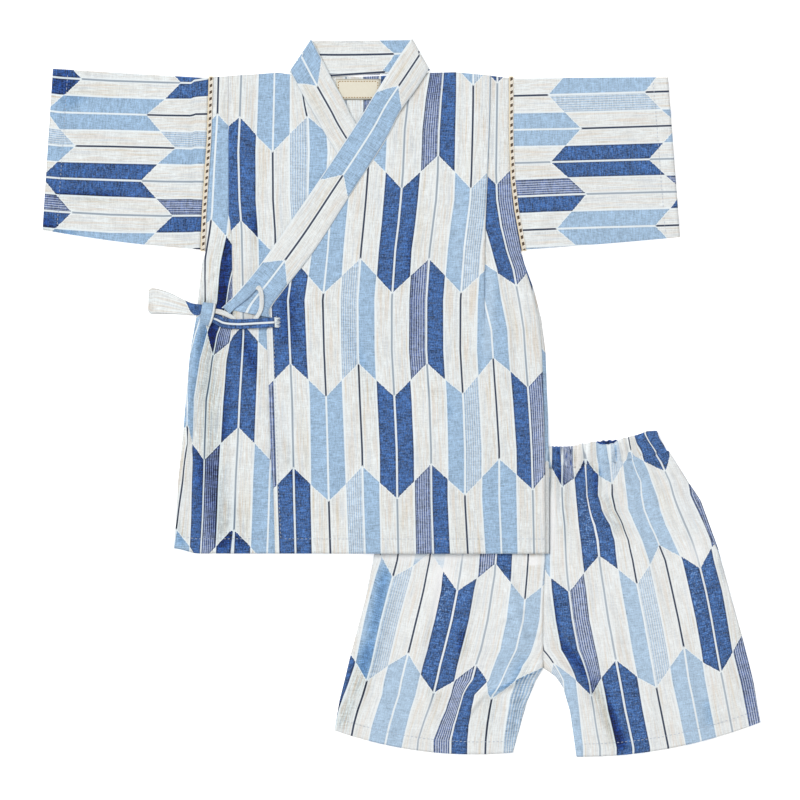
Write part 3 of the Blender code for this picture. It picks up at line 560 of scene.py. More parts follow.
def bandForm(bm, sections, thick, uvAt, across, square, materialIndex=0, crown=None):
    # a soft strip with rounded edges through sections (ax, ay, bx, by, underside)
    layer = bm.loops.layers.uv.get("cloth") or bm.loops.layers.uv.new("cloth")
    sides = [k / across for k in range(across + 1)]
    ring = [(s, 1) for s in sides] + [(s, -1) for s in reversed(sides[1:-1])]
    loops = []
    for j, (ax, ay, bx, by, z) in enumerate(sections):
        places = []
        for s, face in ring:
            full = max(0.0, 1.0 - abs(2 * s - 1) ** square) ** 0.5
            lump = crown(j, s) if crown and face > 0 else 0.0
            places.append(bm.verts.new(spot(between(ax, bx, s), between(ay, by, s),
                                            z + thick / 2 * (1 + face * full) + lump)))
        loops.append(places)
    for j in range(len(sections) - 1):
        for k in range(len(ring)):
            n = (k + 1) % len(ring)
            face = bm.faces.new([loops[j][k], loops[j + 1][k], loops[j + 1][n], loops[j][n]])
            face.material_index = materialIndex
            face.smooth = True
            for loop, (b, a) in zip(face.loops, [(j, k), (j + 1, k), (j + 1, n), (j, n)]):
                loop[layer].uv = uvAt(b, ring[a][0])
    for j, order in ((0, 1), (len(sections) - 1, -1)):
        face = bm.faces.new(loops[j][::order])
        face.material_index = materialIndex
        for loop in face.loops:
            loop[layer].uv = uvAt(j, 0.3)


def stitchRow(bm, path, pitch, length, width, rise, materialIndex=0):
    # single stitches lying on the cloth along a path of (x, y, z) on its surface
    travelled, due, sink = 0.0, pitch / 2, 0.05
    for (ax, ay, az), (bx, by, bz) in zip(path, path[1:]):
        step = hypot(bx - ax, by - ay)
        while step > 0 and due <= travelled + step:
            t = (due - travelled) / step
            x, y, z = between(ax, bx, t), between(ay, by, t), between(az, bz, t)
            dx, dy = (bx - ax) / step, (by - ay) / step
            ends = [bm.verts.new(spot(x + dx * s * length / 2, y + dy * s * length / 2, z - sink))
                    for s in (-1, 1)]
            rings = []
            for s in (-0.3, 0.3):
                rings.append([bm.verts.new(spot(x + dx * s * length - dy * a * width,
                                                y + dy * s * length + dx * a * width, z + h))
                              for a, h in ((-0.5, -sink), (-0.3, rise * 0.8), (0.3, rise * 0.8),
                                           (0.5, -sink))])
            first, second = rings
            for k in range(4):
                n = (k + 1) % 4
                for corners in ((first[k], first[n], second[n], second[k]),
                                (ends[0], first[n], first[k]), (ends[1], second[k], second[n])):
                    face = bm.faces.new(corners)
                    face.material_index = materialIndex
                    face.smooth = True
            due += pitch
        travelled += step


# the set's own lines, as in the frame

armholes = [
    (131, -176.2, 106.5), (166, -174.9, 100), (192.7, -173.2, 96.8), (228, -170.7, 95.2), (284, -169, 95.2),
]
# height, right side, left front's side, left back's side
sideSeams = [
    (-136, -201.6, 125.4, 129), (-71, -197.8, 125, 128.4), (-18, -192.4, 124, 127.6),
    (42, -187.2, 122.4, 125.4), (70, -182.2, 119.6, 121.8), (96, -179.5, 113.6, 115.4),
    (120, -176.6, 105.6, 106.4), (131, -173.4, 103.6, 103.8),
]
shoulderLine = [
    (-175, 282.6), (-147, 284.4), (-110, 287), (-98.6, 285.4), (-38, 284.2), (22, 286.8), (46, 287.4),
    (77, 284.4), (97, 281.8),
]
# inner x and y, outer x and y, middle of the wall
overBand = [
    (-159.6, 80.1, -116, 71.3, 4), (-147.8, 91.5, -116.5, 79.6, 4), (-126.4, 117, -103.4, 97.7, 4),
    (-100, 154.4, -77.4, 131.3, 4), (-74.2, 191.8, -48.9, 175.5, 4), (-41, 242, -16.2, 226.1, 4),
    (-26.4, 265.8, -2.7, 252.4, 3.8), (-6, 297.6, 12, 273, 3.5), (6.6, 315.9, 22, 288.6, 3.4),
]
backBand = [
    (6.6, 315.9, 22, 288.6, 0.8), (-20, 315.6, -14, 286, 0.8), (-54, 315.2, -60, 285.2, 0.8),
    (-79.6, 315, -98.6, 286.6, 0.8),
]
underBand = [
    (-79.6, 315, -98.6, 286.6, 3.4), (-63.6, 284, -87.6, 266.6, 3.4), (-51, 261, -76, 246.6, 3.3),
    (-41, 242, -65.5, 228.2, 2.1), (-7.9, 191.8, -33, 176, 2.1), (18, 154.4, -6, 134, 2.1),
    (44, 117, 18.4, 98, 2.1), (77.4, 80.1, 34.3, 76, 2.1),
]
frontEdges = [
    (-136, -112.6, 37.4), (-78, -114, 36.8), (-54, -116.3, 36.4), (10, -118.2, 35.6), (60, -120, 35),
    (70, -116.4, 34.6),
]
waistLine = [
    (23, -31, -47.4), (44, -30, -50.6), (86, -38, -57.6), (130, -42.2, -60), (150, -41.2, -59.6),
    (172, -37, -57.6), (191, -35.8, -55), (203, -32.4, -52.4), (214, -28.4, -49.6), (234, -27.6, -46.6),
]
# inner x and y, outer x and y, bow
rightLeg = [
    (130.2, -60, 24, -46.8, 0), (128.6, -89, -4, -88.9, 0), (126, -131, -24.6, -132.9, 0),
    (123.8, -177, -33.4, -177, 0), (123.4, -206, -41, -206, 0), (123.4, -236.6, -47, -229, 0),
    (117, -248, -51, -246, 3), (109, -267, -55.8, -265, 5), (96.8, -311.1, -60.4, -291.6, 8.6),
]
leftLeg = [
    (130.2, -60, 233.4, -46.8, 0), (128.6, -89, 261.6, -88.9, 0), (126, -131, 277.6, -132.9, 0),
    (123.8, -177, 289.6, -177, 0), (123.4, -206, 297.6, -206, 0), (123.4, -236.6, 303.6, -229, 0),
    (134.6, -244.4, 305.9, -238.5, 0.8), (140.8, -254, 308.6, -250, 2), (147, -275, 311.6, -268, 4),
    (152.6, -314.8, 314.6, -284.4, 8),
]
legsOutline = ([row[2:4] for row in leftLeg] + [row[:2] for row in leftLeg[:5:-1]]
               + [row[:2] for row in rightLeg[5:]] + [row[2:4] for row in rightLeg[::-1]])
waistEnds = {"top": (33.4, 223.6), "seam": (24.0, 233.4)}
waistOutline = ([(x, readTrack(waistLine, x, 1)) for x in spread(waistEnds["top"], [6])]
                + [(x, readTrack(waistLine, x, 2)) for x in spread(waistEnds["seam"], [6])][::-1])
underOutline = ([row[:2] for row in underBand] + [(row[2], row[0]) for row in frontEdges[4::-1]]
                + [(row[1], row[0]) for row in sideSeams])

lie = {
    "legs": 3.6, "waist": 1.4, "margin": 7.0, "run": 46.0, "slack": 0.5,
    "press": 9.0, "overlap": 1.9, "overlapMargin": 12.0, "overlapRun": 36.0,
    "shoulder": 282.5, "underarm": 131.5, "hem": -136.0, "hemRise": 4.5, "laceWidth": 4.4,
}


def liftAt(x, y):
    # the jacket climbs onto the shorts
    legs = 1.0 - ease((distanceOutside(x, y, legsOutline) - lie["margin"]) / lie["run"])
    waist = 1.0 - ease((distanceOutside(x, y, waistOutline) - lie["margin"]) / lie["run"])
    return max(lie["legs"] * legs, (lie["legs"] + lie["waist"]) * waist)


def slackAt(lift):
    # air between the jacket's layers where it climbs
    return lie["slack"] * min(1.0, 4 * lift / lie["legs"])


def underJacket(x, y, z, thick):
    # folds of the shorts are pressed flat where the jacket lies on them
    inside = min(y - lie["hem"], readTrack(sideSeams, y, 3) - x)
    return min(z, between(z, liftAt(x, y) - thick, ease(inside / lie["press"])))


def outlineShift(x, y, proud, rounded=True):
    # the shoulders' slope, and the hem curving up at the right side
    top = (readTrack(shoulderLine, x) + proud - lie["shoulder"]) * ease((y - 250) / 32)
    low = lie["hemRise"] * (1.0 - ease((x + 201.6) / 22.0)) * ease((-110 - y) / 26) if rounded else 0.0
    return top + low


def sideEdge(y, side):
    # side: 1 right, 2 left front, 3 left back
    if y >= lie["underarm"]:
        armhole = readTrack(armholes, y, 1 if side == 1 else 2)
        return armhole + (0.4 if side == 1 else -0.4) * lie["laceWidth"]
    return readTrack(sideSeams, y, side)


def hemFold(distance, width, rise=0.55):
    # doubled cloth along a hem, with the stitching pulling a groove
    return rise * ease((width - distance) / 1.2) - 0.35 * exp(-((distance - width) / 1.1) ** 2)


# jacket back

back = {"thick": 0.8, "columns": 84, "rows": 120, "hemDroop": 0.2}


def sewBack():
    points = []
    for y in spread([lie["shoulder"], lie["hem"]], [back["rows"]]):
        droop = back["hemDroop"] * ease(1.0 - (y - lie["hem"]) / 30)
        points.append([(x, y + outlineShift(x, y, -0.6), 0.1 + liftAt(x, y) * (1 - droop))
                       for x in spread([sideEdge(y, 1), sideEdge(y, 3)], [back["columns"]])])
    return sewSheet("jacketBack", "jacket_back", points,
                    lambda region, j, i: clothAt(backChart, *points[j][i][:2]), back["thick"])


jacketBack = sewBack()
print("jacket back sewn")


# jacket fronts

fronts = {
    "thick": 0.8, "rows": 156, "mainColumns": 84, "sideColumns": 18, "pleatGap": 0.12,
    "climb": 9.0, "hemWidth": 13.0, "hemDroop": 1.3, "edgeWidth": 7.0, "edgeTop": 66.0,
    "tuckEnd": 60.0, "tuckDepth": 14.0, "tuckPerColumn": 15.0,
    # height, folded edge of the shoulder tuck
    "leftTuck": [(-136, 71.5), (60, 70.5), (87, 70.8), (121, 71.3), (151, 71.8), (193, 73.6),
                 (252, 75.7), (285, 76.1)],
    "rightTuck": [(-136, -149.5), (34, -149.3), (93, -149.2), (137, -149.8), (157, -151.5),
                  (162, -152.9), (285, -152.9)],
}
# creases: start, end, half width, height
leftFrontCreases = [
    (84, 122, 78, 60, 4.5, 2.2), (88, 96, 96, 20, 6, 1.5), (60, 140, 30, 90, 7, 1.1),
    (-100, 55, -60, 20, 6, 1.4), (-108, 20, -84, -60, 5, 1.3), (20, 40, 60, -30, 9, 1),
    (-40, 120, 10, 60, 8, 1), (95, 60, 84, -10, 7, 1.3), (-20, 0, 20, -80, 9, 0.8),
    (28, 200, 44, 130, 6, 1), (-70, -20, -58, -100, 8, 1), (70, -20, 80, -110, 7, 1.1),
    (104, 110, 110, 60, 3.5, 1.3), (46, 270, 50, 205, 5, 0.8), (40, -60, 46, -128, 6, 0.8),
]
rightFrontCreases = [
    (-174, 86, -186.5, 5, 2.8, 3.5), (-186.5, 5, -187, -36, 2.8, 3), (-168, 92, -150, 130, 4.5, 1.7),
    (-164, 60, -150, 20, 6, 1.4), (-158, 70, -128, 62, 5, 1.2), (-140, 30, -132, -60, 5, 1.2),
    (-160, 0, -152, -90, 6, 1), (-140, 240, -128, 170, 5.5, 0.9), (-120, 150, -104, 122, 5, 0.9),
    (-162, 250, -163, 180, 3.5, 0.8), (-174, -40, -186, -120, 5, 1.2), (-60, 60, -20, -60, 9, 0.9),
    (-134, -70, -128, -126, 5, 0.9), (-156, 118, -174, 104, 3.5, 1.7),
]


def frontHeight(x, y, left):
    lift = liftAt(x, y)
    height = table["layer"] + lift + slackAt(lift)
    if left:
        under = distanceOutside(x, y, underOutline)
        cover = 1.0 - ease((under - lie["overlapMargin"]) / lie["overlapRun"])
        return height + slackAt(lift) + lie["overlap"] * cover
    return height


def frontInner(y, left):
    band, column = (overBand, 1) if left else (underBand, 2)
    seam = sorted((section[3], section[2]) for section in band)
    if y >= seam[0][0]:
        return readTrack(seam, min(y, 286.4)) + (-0.5 if left else 0.5)
    return readTrack(frontEdges, y, column)


def frontPoints(left):
    # columns: inner part, six for the folded tuck, outer part
    out = 1 if left else -1
    charts = (leftFrontChart, leftFrontSideChart) if left else (rightFrontChart, rightFrontSideChart)
    tuck = fronts["leftTuck" if left else "rightTuck"]
    creases = leftFrontCreases if left else rightFrontCreases
    ply = fronts["thick"] + fronts["pleatGap"]
    points = []
    for y in spread([lie["shoulder"], lie["hem"]], [fronts["rows"]]):
        inner, edge, outer = frontInner(y, left), readTrack(tuck, y), sideEdge(y, 2 if left else 1)
        hidden = max(0.0, out * (clothAt(charts[1], edge, y)[0] - clothAt(charts[0], edge, y)[0]))
        if y < fronts["tuckEnd"]:
            hidden = 0.0
        depth, shut = min(fronts["tuckDepth"], fronts["tuckPerColumn"] * hidden), ease(hidden / 0.35)
        loose = 1.0 - shut
        row = [(x, 2 * ply * shut * ease(1.0 - ((edge - x) * out - depth) / fronts["climb"]))
               for x in spread([inner, edge], [fronts["mainColumns"]])[:-1]]
        for step, (reach, ahead, level) in enumerate((
                (0, 0, 2), (0, 0.4, 1.5), (0, 0.3, 1), (1, 0, 1), (1, -0.4, 0.5), (1, 0, 0), (0, 0.3, 0))):
            row.append((edge + out * (ahead * shut - depth * reach * shut + loose * 0.5 * step),
                        level * ply * shut))
        row += [(x, 0.0) for x in spread([row[-1][0], outer], [fronts["sideColumns"]])[1:]]
        line = []
        for x, relief in row:
            toHem = y - lie["hem"]
            z = frontHeight(x, y, left) + relief + hemFold(toHem, fronts["hemWidth"])
            if y < fronts["edgeTop"]:
                z += hemFold(abs(x - inner), fronts["edgeWidth"], 0.4)
            z += creaseHeight(creases, x, y) * ease(toHem / 12)
            z -= 0.4 * ease(1.0 - abs(x - outer) / 4.0)
            z -= fronts["hemDroop"] * ease(1.0 - toHem / 30) * liftAt(x, y) / lie["legs"]
            line.append((x, y + outlineShift(x, y, 0.2, not left), z))
        points.append(line)
    return points, charts


def sewFront(name, node, left, paintedShadeAndLight):
    points, charts = frontPoints(left)
    main, fold = fronts["mainColumns"], 6

    def uvAt(region, j, i):
        x, y, z = points[j][i]
        if region == 2:
            first = clothAt(charts[0], *points[j][main][:2])
            last = clothAt(charts[1], *points[j][main + fold][:2])
            t = (i - main) / fold
            return between(first[0], last[0], t), between(first[1], last[1], t)
        return clothAt(charts[region], x, y)

    regions = [0] * main + [2] * fold + [1] * fronts["sideColumns"]
    piece = sewSheet(name, node, points, uvAt, fronts["thick"], regions=regions)
    paintShadeAndLight(piece, paintedShadeAndLight)
    return piece


# painted shade: start, end, half width, depth; painted deepest below the knot
rightFrontPaintedShade = [
    (-169, 60.7, -171.6, 2.6, 9.5, 1.2), (-171.6, 12.3, -169, -49.3, 10.5, 1.25),
    (-169, -49.3, -160.2, -128.5, 10, 1.3), (-147.8, -88.9, -139, -132.9, 8, 0.35),
    (-154.9, 143.4, -159.3, 95.9, 6.5, 0.8), (-159.3, 99.4, -159.3, 78.3, 6, 1.2),
    (-155.8, 79.2, -147, 74.8, 5, 1.3), (-168.1, 70.4, -169.8, 42.2, 5, 0.8),
    (-179.5, 86.2, -167.2, 83.6, 4, 1.2), (-143.4, 56.3, -124.1, 16.7, 6, 0.4),
    (-198, -106.5, -194.5, -128.5, 4, 0.6), (-129.4, 161.9, -128.5, 131.1, 6, 0.4),
    (-124.1, 103, -115.3, 90.6, 5, 0.6),
]
# painted shade on the left front, and painted light where the depth is negative
leftFrontPaintedShadeAndLight = [
    (-101.2, 97.7, -99.4, 48.4, 8, 0.28), (-71.3, 87.1, -51, 65.1, 6, 0.24),
    (-51, 65.1, -24.6, -5.3, 6, 0.28), (7.9, 144.3, 9.7, 43.1, 4, 0.25), (19.4, 16.7, 41.4, -14.1, 5, 0.26),
    (45.8, 183.9, 50.2, 104.7, 12, -0.12), (76.6, 117.9, 73.9, 34.3, 6, -0.25),
    (103, 104.7, 104.7, 43.1, 7, -0.2), (122.3, -0.9, 126.7, -132.9, 5, -0.4),
    (29, 298.3, 26.4, 263.1, 5, 0.45), (-108.2, -36.1, -89.8, -75.7, 6, 0.32),
]
rightFront = sewFront("rightFront", "jacket_right_front", False, rightFrontPaintedShade)
leftFront = sewFront("leftFront", "jacket_left_front", True, leftFrontPaintedShadeAndLight)
print("fronts sewn")


# collar band

collar = {
    "thick": 1.5, "across": 12, "rowMm": 91.5, "foldSteps": 8, "steps": 9, "edgeDrop": 0.25,
    # arrow row at a place on the band
    "overMark": (1.164, -102.8, 120.6), "underMark": (5.164, -76.9, 273.2), "backMark": (4.164, -6.2),
    # column at the first edge and how many lie across
    "frontColumns": (5.988, 1.024), "backColumns": (6.118, 0.93),
}


def foldOver(line, low, high, outward):
    radius = (high - low) / 2
    ax, ay, bx, by = line[:4]
    length = hypot(bx - ax, by - ay)
    nx, ny = outward * (ay - by) / length, outward * (bx - ax) / length
    fold = []
    for step in range(1, collar["foldSteps"]):
        angle = pi * step / collar["foldSteps"]
        reach = radius * sin(angle)
        fold.append((ax + nx * reach, ay + ny * reach, bx + nx * reach, by + ny * reach,
                     low + radius * (1 - cos(angle))))
    return fold


def rowsAlong(sections, row, x, y):
    # arrow rows along a part of the band that has the given one nearest to a place
    runs = runLengths(sections)
    mark = min((hypot((s[0] + s[2]) / 2 - x, (s[1] + s[3]) / 2 - y), run)
               for s, run in zip(sections, runs))[1]
    return [row + (run - mark) / collar["rowMm"] for run in runs]


def sewCollar():
    over = smoothPath(overBand, collar["steps"])
    backPart = smoothPath(backBand, collar["steps"])
    under = smoothPath(underBand, collar["steps"])
    leftFold = foldOver(backBand[0], backBand[0][4], overBand[-1][4], 1)[::-1]
    rightFold = foldOver(backBand[-1], backBand[-1][4], underBand[0][4], -1)
    backRow, backX = collar["backMark"]
    rows = rowsAlong(over, *collar["overMark"])
    for part in ([backRow + ((s[0] + s[2]) / 2 - backX) / collar["rowMm"] for s in backPart],
                 rowsAlong(under, *collar["underMark"])):
        turned = collar["foldSteps"]
        rows += [between(rows[-1], part[0], k / turned) for k in range(1, turned)] + part
    sections = over + leftFold + backPart + rightFold + under
    points = []
    for ax, ay, bx, by, middle in sections:
        row = []
        for i in range(collar["across"] + 1):
            s = i / collar["across"]
            x, y = between(ax, bx, s), between(ay, by, s)
            drop = collar["edgeDrop"] * abs(2 * s - 1) ** 5
            row.append((x, y, max(0.05, middle - collar["thick"] / 2 + liftAt(x, y) - drop)))
        points.append(row)
    first = len(over)
    last = len(over) + len(leftFold) + len(backPart) + len(rightFold)

    def uvAt(region, j, i):
        column, count = collar["backColumns" if first <= j < last else "frontColumns"]
        return column + count * i / collar["across"], rows[j]

    return sewSheet("collarBand", "collar_band", points, uvAt, collar["thick"], collarMaterial)


collarBand = sewCollar()
print("collar sewn")


# sleeves and ladder lace

sleeves = {
    "thick": 0.8, "rings": 54, "across": 58, "low": 0.45, "high": 1.75, "puff": 0.5, "hemWidth": 13.0,
    # cuff's upper and lower corner, droop of the lower edge
    "right": (-308.0, 290.8, -317.2, 148.8, 2.0), "left": (233.2, 283.4, 243.8, 142.4, 0.5),
}
rightSleeveCreases = [
    (-184.5, 282, -185, 134, 1.6, -1), (-200, 160, -250, 176, 7, 1.1), (-190, 210, -240, 224, 8, 0.7),
    (-230, 150, -300, 160, 7, 0.9), (-260, 270, -305, 262, 6, 0.7), (-200, 262, -236, 250, 6, 0.7),
    (-190, 140, -214, 170, 5, 1.1), (-270, 200, -310, 206, 9, 0.7),
]
leftSleeveCreases = [
    (113.5, 282, 114.5, 134, 1.4, -0.7), (116, 160, 160, 180, 7, 0.9), (130, 250, 190, 240, 8, 0.7),
    (160, 150, 226, 158, 7, 0.9), (112, 140, 132, 172, 5, 1.1), (190, 262, 232, 256, 6, 0.6),
    (180, 204, 236, 200, 9, 0.7),
]


def flatRing(run, low, high, turns=5):
    radius = (high - low) / 2
    ring = [(place, low) for place in run]
    angles = [pi * step / turns for step in range(1, turns)]
    ring += [(run[-1] + radius * sin(angle), low + radius * (1 - cos(angle))) for angle in angles]
    ring += [(place, high) for place in reversed(run)]
    return ring + [(run[0] - radius * sin(angle), low + radius * (1 + cos(angle))) for angle in angles]


def sewTube(name, node, points, upper, uvAt, thick):
    # region 1 is the side on the table, 0 the side on top, which starts at point number upper
    count = len(points[0])
    regions = [1 if i < upper or i == count - 1 else 0 for i in range(count)]
    return sewSheet(name, node, points, uvAt, thick, regions=regions, ring=True)


def sewSleeve(name, node, side, chart, creases):
    topX, topY, bottomX, bottomY, droop = sleeves[side]
    out, column = (-1, 1) if side == "right" else (1, 2)
    turn = 1.1
    points = []
    for j in range(sleeves["rings"] + 1):
        reach = j / sleeves["rings"]
        top = between(lie["shoulder"], topY, reach)
        bottom = between(lie["underarm"], bottomY, reach) - droop * sin(pi * reach)
        run = spread([bottom + turn, top - turn], [sleeves["across"]])
        ring = []
        for y, z in flatRing(run, sleeves["low"], sleeves["high"]):
            part = (y - bottom) / (top - bottom)
            start = readTrack(armholes, between(lie["underarm"], lie["shoulder"], part), column)
            start += out * (lie["laceWidth"] / 2 - 0.2)
            end = between(bottomX, topX, part)
            x = between(start, end, reach)
            if z > sleeves["high"] - 0.01:
                inside = min(1.0, part * 8, (1 - part) * 8)
                z += sleeves["puff"] * ease(inside) * ease(reach * 6)
                z += creaseHeight(creases, x, y) * ease(abs(x - end) / 10) * ease(inside)
                z += hemFold(abs(end - x), sleeves["hemWidth"], 0.45) * ease(inside * 2)
            ring.append((x, y, z))
        points.append(ring)
    upper = sleeves["across"] + 3

    def uvAt(region, j, i):
        x, y, z = points[j][i % len(points[j])]
        u, v = clothAt(chart, x, y)
        return (2 * clothAt(chart, x, points[j][upper][1])[0] - u, v) if region else (u, v)

    return sewTube(name, node, points, upper, uvAt, sleeves["thick"])


rightSleeve = sewSleeve("rightSleeve", "right_sleeve", "right", rightSleeveChart, rightSleeveCreases)
# painted shade and painted light on the sleeves: start, end, half width, depth; the right sleeve is also
# painted a little darker all over, the left a little lighter
rightSleevePaintedShadeAndLight = [
    (-308, 286, -286, 259.6, 14, 0.4), (-312.4, 178.6, -249, 176.9, 4, 0.5),
    (-315, 147, -288.6, 143.4, 5, 0.6), (-203.3, 273.7, -175.1, 273.7, 5, -0.35),
    (-316.8, 159.3, -312.4, 147, 6, 0.5),
]
paintShadeAndLight(rightSleeve, rightSleevePaintedShadeAndLight, 0.05)
leftSleeve = sewSleeve("leftSleeve", "left_sleeve", "left", leftSleeveChart, leftSleeveCreases)
paintShadeAndLight(leftSleeve, [], -0.06)
print("sleeves sewn")

lace = {
    "pitch": 5.8, "width": 4.1, "bar": (3.2, 3.3), "slant": 0.5, "top": 2.0, "under": 0.0,
    "low": 131.2, "high": 283.0, "railThick": 0.8, "holeShadowThick": 0.35, "threadThick": 0.42,
    "rails": ((-1.35, 1.4, 0), (1.75, 0.6, 1)),     # offset, width, material
}


def makeLace(name, node, column):
    bm = bmesh.new()
    path = [(readTrack(armholes, y, column), y) for y in spread([lace["low"], lace["high"]], [40])]
    for level, rise in ((lace["top"], 1), (lace["under"], 0)):
        def strip(offset, width, thick, z, material, square=3.0):
            sections = [(x + offset - width / 2, y, x + offset + width / 2, y, z + 0.15 * (1 - rise))
                        for x, y in path]
            bandForm(bm, sections, thick, lambda j, s: (s, j / 5), 6, square, material)

        # a near-black sheet under the rails and bars, painted shadow showing through the holes
        strip(0.0, lace["width"] - 0.8, lace["holeShadowThick"], level + (0.1 if rise else 0.3), 2, 8.0)
        for offset, width, material in lace["rails"]:
            strip(offset, width, lace["railThick"], level + (0.1 if rise else 0.0), material)
        y = lace["low"] + lace["pitch"] * 0.4
        while y < lace["high"] - 0.5:
            x = readTrack(armholes, y, column)
            wide, tall = lace["bar"]
            # each bar is a little bundle of threads, waisted in the middle
            for part, shift in enumerate((-0.32, 0.0, 0.32)):
                middle = y + shift * tall
                z = level + (0.42 if rise else -0.05) + (0.06 if part == 1 else 0.0)
                sections = []
                for t in (0.0, 0.25, 0.5, 0.75, 1.0):
                    along, half = x + wide * (t - 0.5), tall * 0.2 * (1 - 0.3 * sin(pi * t))
                    slanted = middle + lace["slant"] * wide * (t - 0.5)
                    sections.append((along, slanted + half, along, slanted - half, max(0.0, z)))
                bandForm(bm, sections, lace["threadThick"], lambda j, s: (s, j / 5), 4, 2.0, 1)
            y += lace["pitch"]
    # the tape carries on round the shoulder and the underarm
    for y, out in ((lace["high"] - 0.1, 1), (lace["low"] + 0.1, -1)):
        x = readTrack(armholes, y, column)
        arc = [(out * 1.15 * sin(pi * k / 8), 0.35 + 1.0 * (1 - cos(pi * k / 8))) for k in range(9)]
        for a, b in zip(arc, arc[1:]):
            outer, inner = ([bm.verts.new(spot(x + s * lace["width"] / 2, y + dy - inset, z))
                             for s, (dy, z) in ((-1, a), (1, a), (1, b), (-1, b))]
                            for inset in (0, out * 0.5))
            for k in range(4):
                n = (k + 1) % 4
                bm.faces.new((outer[k], inner[k], inner[n], outer[n]))
            bm.faces.new(outer)
            bm.faces.new(inner[::-1])
    return finishForm(name, bm, [goldThread, laceCream, laceHoleShadow], node)


rightLace = makeLace("rightLace", "right_armhole_lace", 1)
leftLace = makeLace("leftLace", "left_armhole_lace", 2)
print("lace made")


# neck label

label = {
    "left": -59.0, "width": 39.0, "depth": 18.5, "drop": 2.5, "thick": 0.5, "border": 2.2, "steps": 12,
    "under": 1.1, "bow": 0.25, "stitch": (2.4, 1.7, 0.8, 0.25), "binding": ((-65.0, -16.0), (284.6, 287.8)),
}


def makeLabel():
    bm = bmesh.new()
    left, right = label["left"], label["left"] + label["width"]
    high = readTrack(shoulderLine, (left + right) / 2) - label["drop"]
    low, steps = high - label["depth"], label["steps"]

    def bowed(x):
        return label["under"] + label["bow"] * sin(pi * (x - left) / label["width"])

    sections = [(x, high, x, low, bowed(x)) for x in spread([left, right], [steps])]
    bandForm(bm, sections, label["thick"], lambda j, s: (j / steps, s), 8, 12.0, 0)
    a, b = left + label["border"], right - label["border"]
    c, d = high - label["border"], low + label["border"]
    corners = [(a, c), (b, c), (b, d), (a, d), (a, c)]
    for (ax, ay), (bx, by) in zip(corners, corners[1:]):
        line = [(x, y, bowed(x) + label["thick"])
                for x, y in zip(spread([ax, bx], [8]), spread([ay, by], [8]))]
        stitchRow(bm, line, *label["stitch"], 1)
    # turned edge of the neck above it
    binding = zip(*(spread(ends, [10]) for ends in label["binding"]))
    bandForm(bm, [(x, y + 1.3, x, y - 1.3, table["layer"] - 0.1) for x, y in binding], 0.6,
             lambda j, s: (between(2.46, 2.54, s), 1.5), 8, 6.0, 2)
    return finishForm("neckLabel", bm, [labelMaterial, ochreThread, clothMaterial],
                      "neck_label")


neckLabel = makeLabel()
print("label made")


# shorts

# paintedLight: light painted over the pale colours of the whole front of the legs and the casing
shorts = {"thick": 0.8, "across": 84, "down": 150, "hemWidth": 11.4, "seamLap": 1.2, "sag": 0.35,
          "paintedLight": -0.22}
# part across from the inner edge, length, half width, height: folds that run down from the casing
waistFolds = [
    (0.04, 46, 2, 1.8), (0.1, 88, 2.6, 2.7), (0.17, 34, 1.8, 2.1), (0.23, 70, 2.4, 2.4),
    (0.3, 110, 3.2, 2.9), (0.36, 40, 1.8, 1.8), (0.43, 78, 2.6, 2.7), (0.51, 52, 2, 2.4),
    (0.57, 96, 3, 2.7), (0.63, 38, 1.8, 2.1), (0.7, 66, 2.2, 2.4), (0.77, 104, 2.8, 2.7),
    (0.84, 44, 1.8, 2.1), (0.9, 60, 2.2, 2.4), (0.96, 30, 1.8, 1.5),
]
rightLegCreases = [
    (102, -207, 122, -207, 2.4, 2.2), (123, -237, 75, -260, 6, 4.3), (100, -239, 121, -236, 2.5, 1.7),
    (30, -150, 10, -250, 10, 2.3), (-6, -160, -36, -262, 9, 2), (64, -150, 44, -236, 10, 2.2),
    (74, -255, 52, -284, 4, 3.2), (99, -256, 92, -302, 6, 3.2), (92, -150, 108, -222, 8, 2.2),
    (-28, -200, 16, -208, 8, 1.3), (20, -262, 34, -298, 8, 2), (-44, -244, -20, -262, 6, 1.7),
    (60, -212, 96, -226, 6, 1.9), (-20, -262, -8, -292, 6, 1.6), (112, -182, 84, -196, 5, 1.4),
]
leftLegCreases = [
    (172, -56, 172, -92, 2.6, 2.4), (134, -66, 134, -120, 3, 1.8), (190, -112, 171, -90, 4, 3.8),
    (186, -106, 224, -120, 5, 2), (132, -228, 168, -258, 6, 3.5), (134, -150, 148, -220, 8, 2.2),
    (150, -120, 166, -186, 7, 2), (206, -120, 234, -204, 9, 2.2), (240, -90, 266, -184, 8, 2),
    (180, -180, 200, -262, 10, 2.2), (244, -206, 258, -282, 9, 2), (153, -252, 181, -298, 9, 2.9),
    (262, -120, 286, -194, 5, 1.7), (200, -230, 244, -246, 8, 1.3), (140, -196, 196, -212, 7, 1.4),
    (214, -78, 242, -116, 5, 2), (276, -220, 298, -262, 7, 1.9), (216, -250, 222, -296, 7, 1.7),
    (158, -206, 176, -236, 5, 1.7),
]
pocket = {"from": -74.9, "to": -132.9, "depth": 5.0, "thick": 0.4, "lap": 0.2, "sink": 0.45}
# height, how far the mouth gapes
pocketMouth = [
    (-147.6, 0), (-132.9, 0.6), (-121.9, 2.6), (-110.9, 3.9), (-99.9, 3.5), (-88.9, 2.2), (-74.9, 0.8),
    (-60.8, 0),
]


def legRow(leg, place):
    k = min(len(leg) - 2, int(place))
    return tuple(between(a, b, place - k) for a, b in zip(leg[k], leg[k + 1]))


def legSpot(section, part):
    ax, ay, bx, by, bow = section
    return between(ax, bx, part), between(ay, by, part) - 4 * bow * part * (1 - part)


def legPlaces(leg, count):
    # evenly spaced down the leg's length
    lengths, places = runLengths(leg), []
    for n in range(count + 1):
        run = lengths[-1] * n / count
        k = min(len(leg) - 2, max(0, bisect(lengths, run) - 1))
        places.append((k + (run - lengths[k]) / (lengths[k + 1] - lengths[k]), lengths[-1] - run))
    return places


